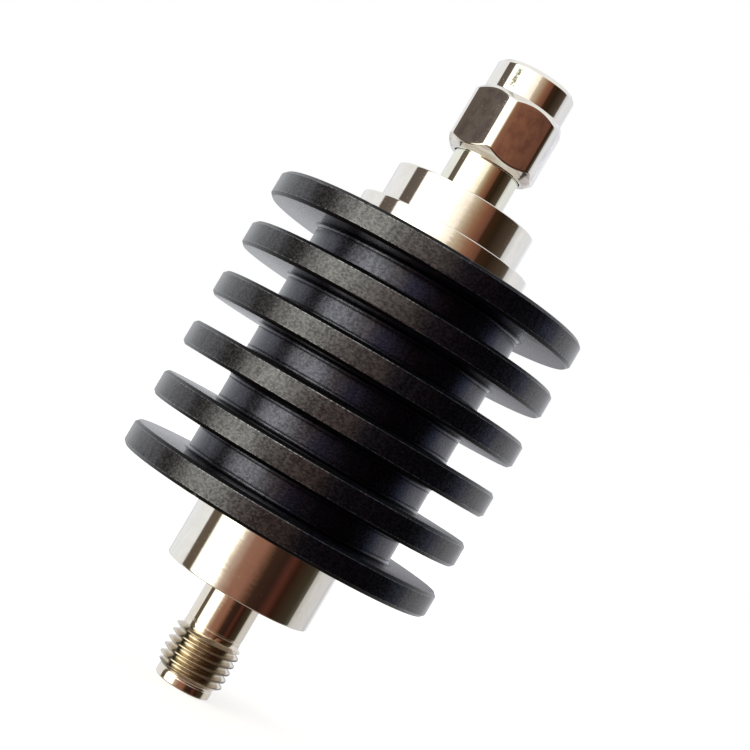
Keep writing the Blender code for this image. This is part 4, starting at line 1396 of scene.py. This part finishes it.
@dataclass
class PhotoCamera:
    """The photograph's camera: level with the heat sink, rolled so that the part leans right."""

    place: tuple[float, float, float] = (0.8, -143.96, 26.21)
    look_up: float = math.radians(2.108)
    roll: float = math.radians(30.52)
    focal_length: float = 79.58
    sensor: float = 36.0

    def build(self) -> None:
        """Make the camera the scene's."""
        data = bpy.data.cameras.new("photo_camera")
        data.lens = self.focal_length
        data.sensor_width = self.sensor
        data.clip_start = 0.001
        camera = placed("photo_camera", data)
        tilt = Matrix.Rotation(math.pi / 2 + self.look_up, 4, "X")
        turn = Matrix.Rotation(self.roll, 4, "Z")
        camera.matrix_world = Matrix.Translation([part * MM for part in self.place]) @ tilt @ turn
        bpy.context.scene.camera = camera


Band = tuple[float, Colour]


@dataclass
class Studio:
    """Pale floor and a soft studio all round, with the brown and dark cards that polished metal shows.

    A band is an angle round the part, 0 towards the camera and growing to its right, with
    the colour that the studio has there. Between two bands the colour changes evenly.
    """

    floor_half: float = 3.0
    low_bands: tuple[Band, ...] = (
        (-180, (0.66, 0.66, 0.69)), (-175, (0.86, 0.87, 0.91)), (-165, (0.70, 0.70, 0.72)),
        (-152, (0.88, 0.90, 0.93)), (-98, (0.90, 0.91, 0.90)), (-96, (0.13, 0.10, 0.075)),
        (-79, (0.13, 0.10, 0.07)), (-77, (1.20, 1.20, 1.05)), (-64, (3.1, 3.1, 2.6)),
        (-50, (3.7, 3.7, 3.1)), (-40, (2.4, 2.35, 1.95)), (-33, (1.30, 1.20, 1.02)),
        (-30.5, (0.66, 0.52, 0.42)), (-25, (0.50, 0.36, 0.28)), (-13, (0.31, 0.155, 0.105)),
        (2, (0.29, 0.135, 0.09)), (13, (0.155, 0.072, 0.044)), (20, (0.045, 0.022, 0.014)),
        (38, (0.032, 0.015, 0.010)), (50, (0.085, 0.027, 0.018)), (61, (0.030, 0.011, 0.006)),
        (88, (0.046, 0.036, 0.022)), (97, (0.10, 0.09, 0.07)), (99, (0.52, 0.51, 0.48)),
        (110, (0.68, 0.67, 0.66)), (134, (0.70, 0.69, 0.71)), (148, (0.60, 0.60, 0.62)),
        (160, (0.90, 0.92, 0.96)), (169, (0.86, 0.87, 0.91)), (173, (0.40, 0.40, 0.43)),
    )
    high_bands: tuple[Band, ...] = (
        (-180, (0.66, 0.66, 0.69)), (-175, (0.86, 0.87, 0.91)), (-165, (0.72, 0.72, 0.74)),
        (-152, (0.90, 0.92, 0.96)), (-101, (0.92, 0.92, 0.92)), (-99, (0.12, 0.095, 0.075)),
        (-77, (0.15, 0.12, 0.105)), (-75, (1.6, 1.6, 1.45)), (-64, (2.6, 2.6, 2.2)),
        (-54, (3.8, 3.85, 3.2)), (-42, (3.9, 3.95, 3.3)), (-32, (3.3, 3.25, 2.75)),
        (-20, (2.2, 2.05, 1.75)), (-10, (1.55, 1.38, 1.18)), (-2, (1.28, 1.13, 0.98)),
        (6, (1.10, 1.0, 0.87)), (8.5, (0.66, 0.55, 0.42)), (13, (0.52, 0.41, 0.29)),
        (24, (0.31, 0.17, 0.10)), (33, (0.24, 0.10, 0.058)), (44, (0.135, 0.056, 0.036)),
        (46, (0.046, 0.020, 0.009)), (62, (0.026, 0.015, 0.008)), (86, (0.074, 0.052, 0.036)),
        (95, (0.11, 0.09, 0.07)), (97, (0.66, 0.66, 0.67)), (110, (0.86, 0.86, 0.89)),
        (152, (0.79, 0.80, 0.84)), (164, (0.94, 0.96, 1.0)), (169, (0.86, 0.87, 0.91)),
        (173, (0.36, 0.36, 0.39)),
    )
    overhead: Colour = (0.95, 0.95, 0.93)
    underfoot: Colour = (0.34, 0.28, 0.24)
    peak: float = 5.0

    def build(self) -> None:
        """Lay the floor, light the scene and keep colours as they are."""
        self.floor()
        self.surroundings()
        bpy.context.scene.view_settings.view_transform = "Standard"

    def floor(self) -> None:
        """A pale floor that the part stands on. It lights the part from below, but doesn't mirror in it."""
        half = self.floor_half
        mesh = bpy.data.meshes.new("studio_floor")
        corners = [(-half, -half, 0), (half, -half, 0), (half, half, 0), (-half, half, 0)]
        mesh.from_pydata(corners, [], [(0, 1, 2, 3)])
        floor = placed("studio_floor", mesh)
        material = bpy.data.materials.new("pale_floor")
        material.use_nodes = True
        graph = Graph(material.node_tree)
        graph.surface({
            "Base Color": (0.5, 0.5, 0.5), "Roughness": 0.9, "Specular IOR Level": 0.0,
            "Emission Color": (1.0, 1.0, 1.0), "Emission Strength": 0.72,
        })
        mesh.materials.append(material)
        floor.visible_glossy = False

    def ramp(self, graph: Graph, azimuth: Value, bands: tuple[Band, ...]) -> Socket:
        """The bands' colour at an azimuth in degrees, as a share of the studio's peak."""
        stops = [(angle / 360 + 0.5, self.share(colour)) for angle, colour in (*bands, (180, bands[0][1]))]
        share = azimuth / 360 + 0.5
        return graph.node("ShaderNodeValToRGB", {"stops": stops}, {0: share}).outputs["Color"]

    def share(self, colour: Colour) -> Colour:
        """A colour as a share of the studio's peak, because a ramp holds no more than 1."""
        return tuple(part / self.peak for part in colour)

    def surroundings(self) -> None:
        """Colour the world by direction.

        The azimuth is the angle of (x, -y) and the elevation the arc sine of z. The low and
        the high bands change over near the horizon, and both give way to the overhead and
        underfoot colours at steep angles. The camera itself sees plain white.
        """
        world = bpy.data.worlds.new("soft_studio")
        world.use_nodes = True
        bpy.context.scene.world = world
        graph = Graph(world.node_tree)
        x, y, z = graph.parts(graph.node("ShaderNodeTexCoord").outputs["Generated"])
        azimuth = graph.math(Sum.ANGLE, x, 0 - y) * IN_DEGREES
        elevation = graph.math(Sum.ARC_SINE, z) * IN_DEGREES
        ragged = graph.noise(graph.join(azimuth / 16, elevation / 0.9, 0.0), 1.0, 3.0, 0.6) - 0.5
        azimuth = azimuth + ragged * 26 * azimuth.step(-50, -32) * (1 - azimuth.step(14, 34))
        low = self.ramp(graph, azimuth, self.low_bands)
        high = self.ramp(graph, azimuth, self.high_bands)
        level = graph.blend(elevation.step(1.0, 7.0), low, high)
        lit = graph.blend(elevation.step(32.0, 60.0), level, self.share(self.overhead))
        lit = graph.blend((0 - elevation).step(25.0, 55.0), lit, self.share(self.underfoot))
        seen = Value(graph, graph.node("ShaderNodeLightPath").outputs["Is Camera Ray"])
        shown = graph.blend(seen, lit, self.share((1.0, 1.0, 1.0)))
        shader = graph.node("ShaderNodeBackground", None, {"Color": shown, "Strength": self.peak})
        graph.node("ShaderNodeOutputWorld", None, {"Surface": shader.outputs[0]})


def main() -> None:
    """Build the camera, the studio and the part, from the heat sink to the chip."""
    logging.basicConfig(level=logging.INFO, format="%(message)s")
    PhotoCamera().build()
    Studio().build()
    for group in (HeatSink(), EndCaps(), SocketConnector(), PlugConnector(), CouplingNut(), ChipAssembly()):
        log.info("building %s", type(group).__name__)
        group.build()


if __name__ == "__main__":
    main()
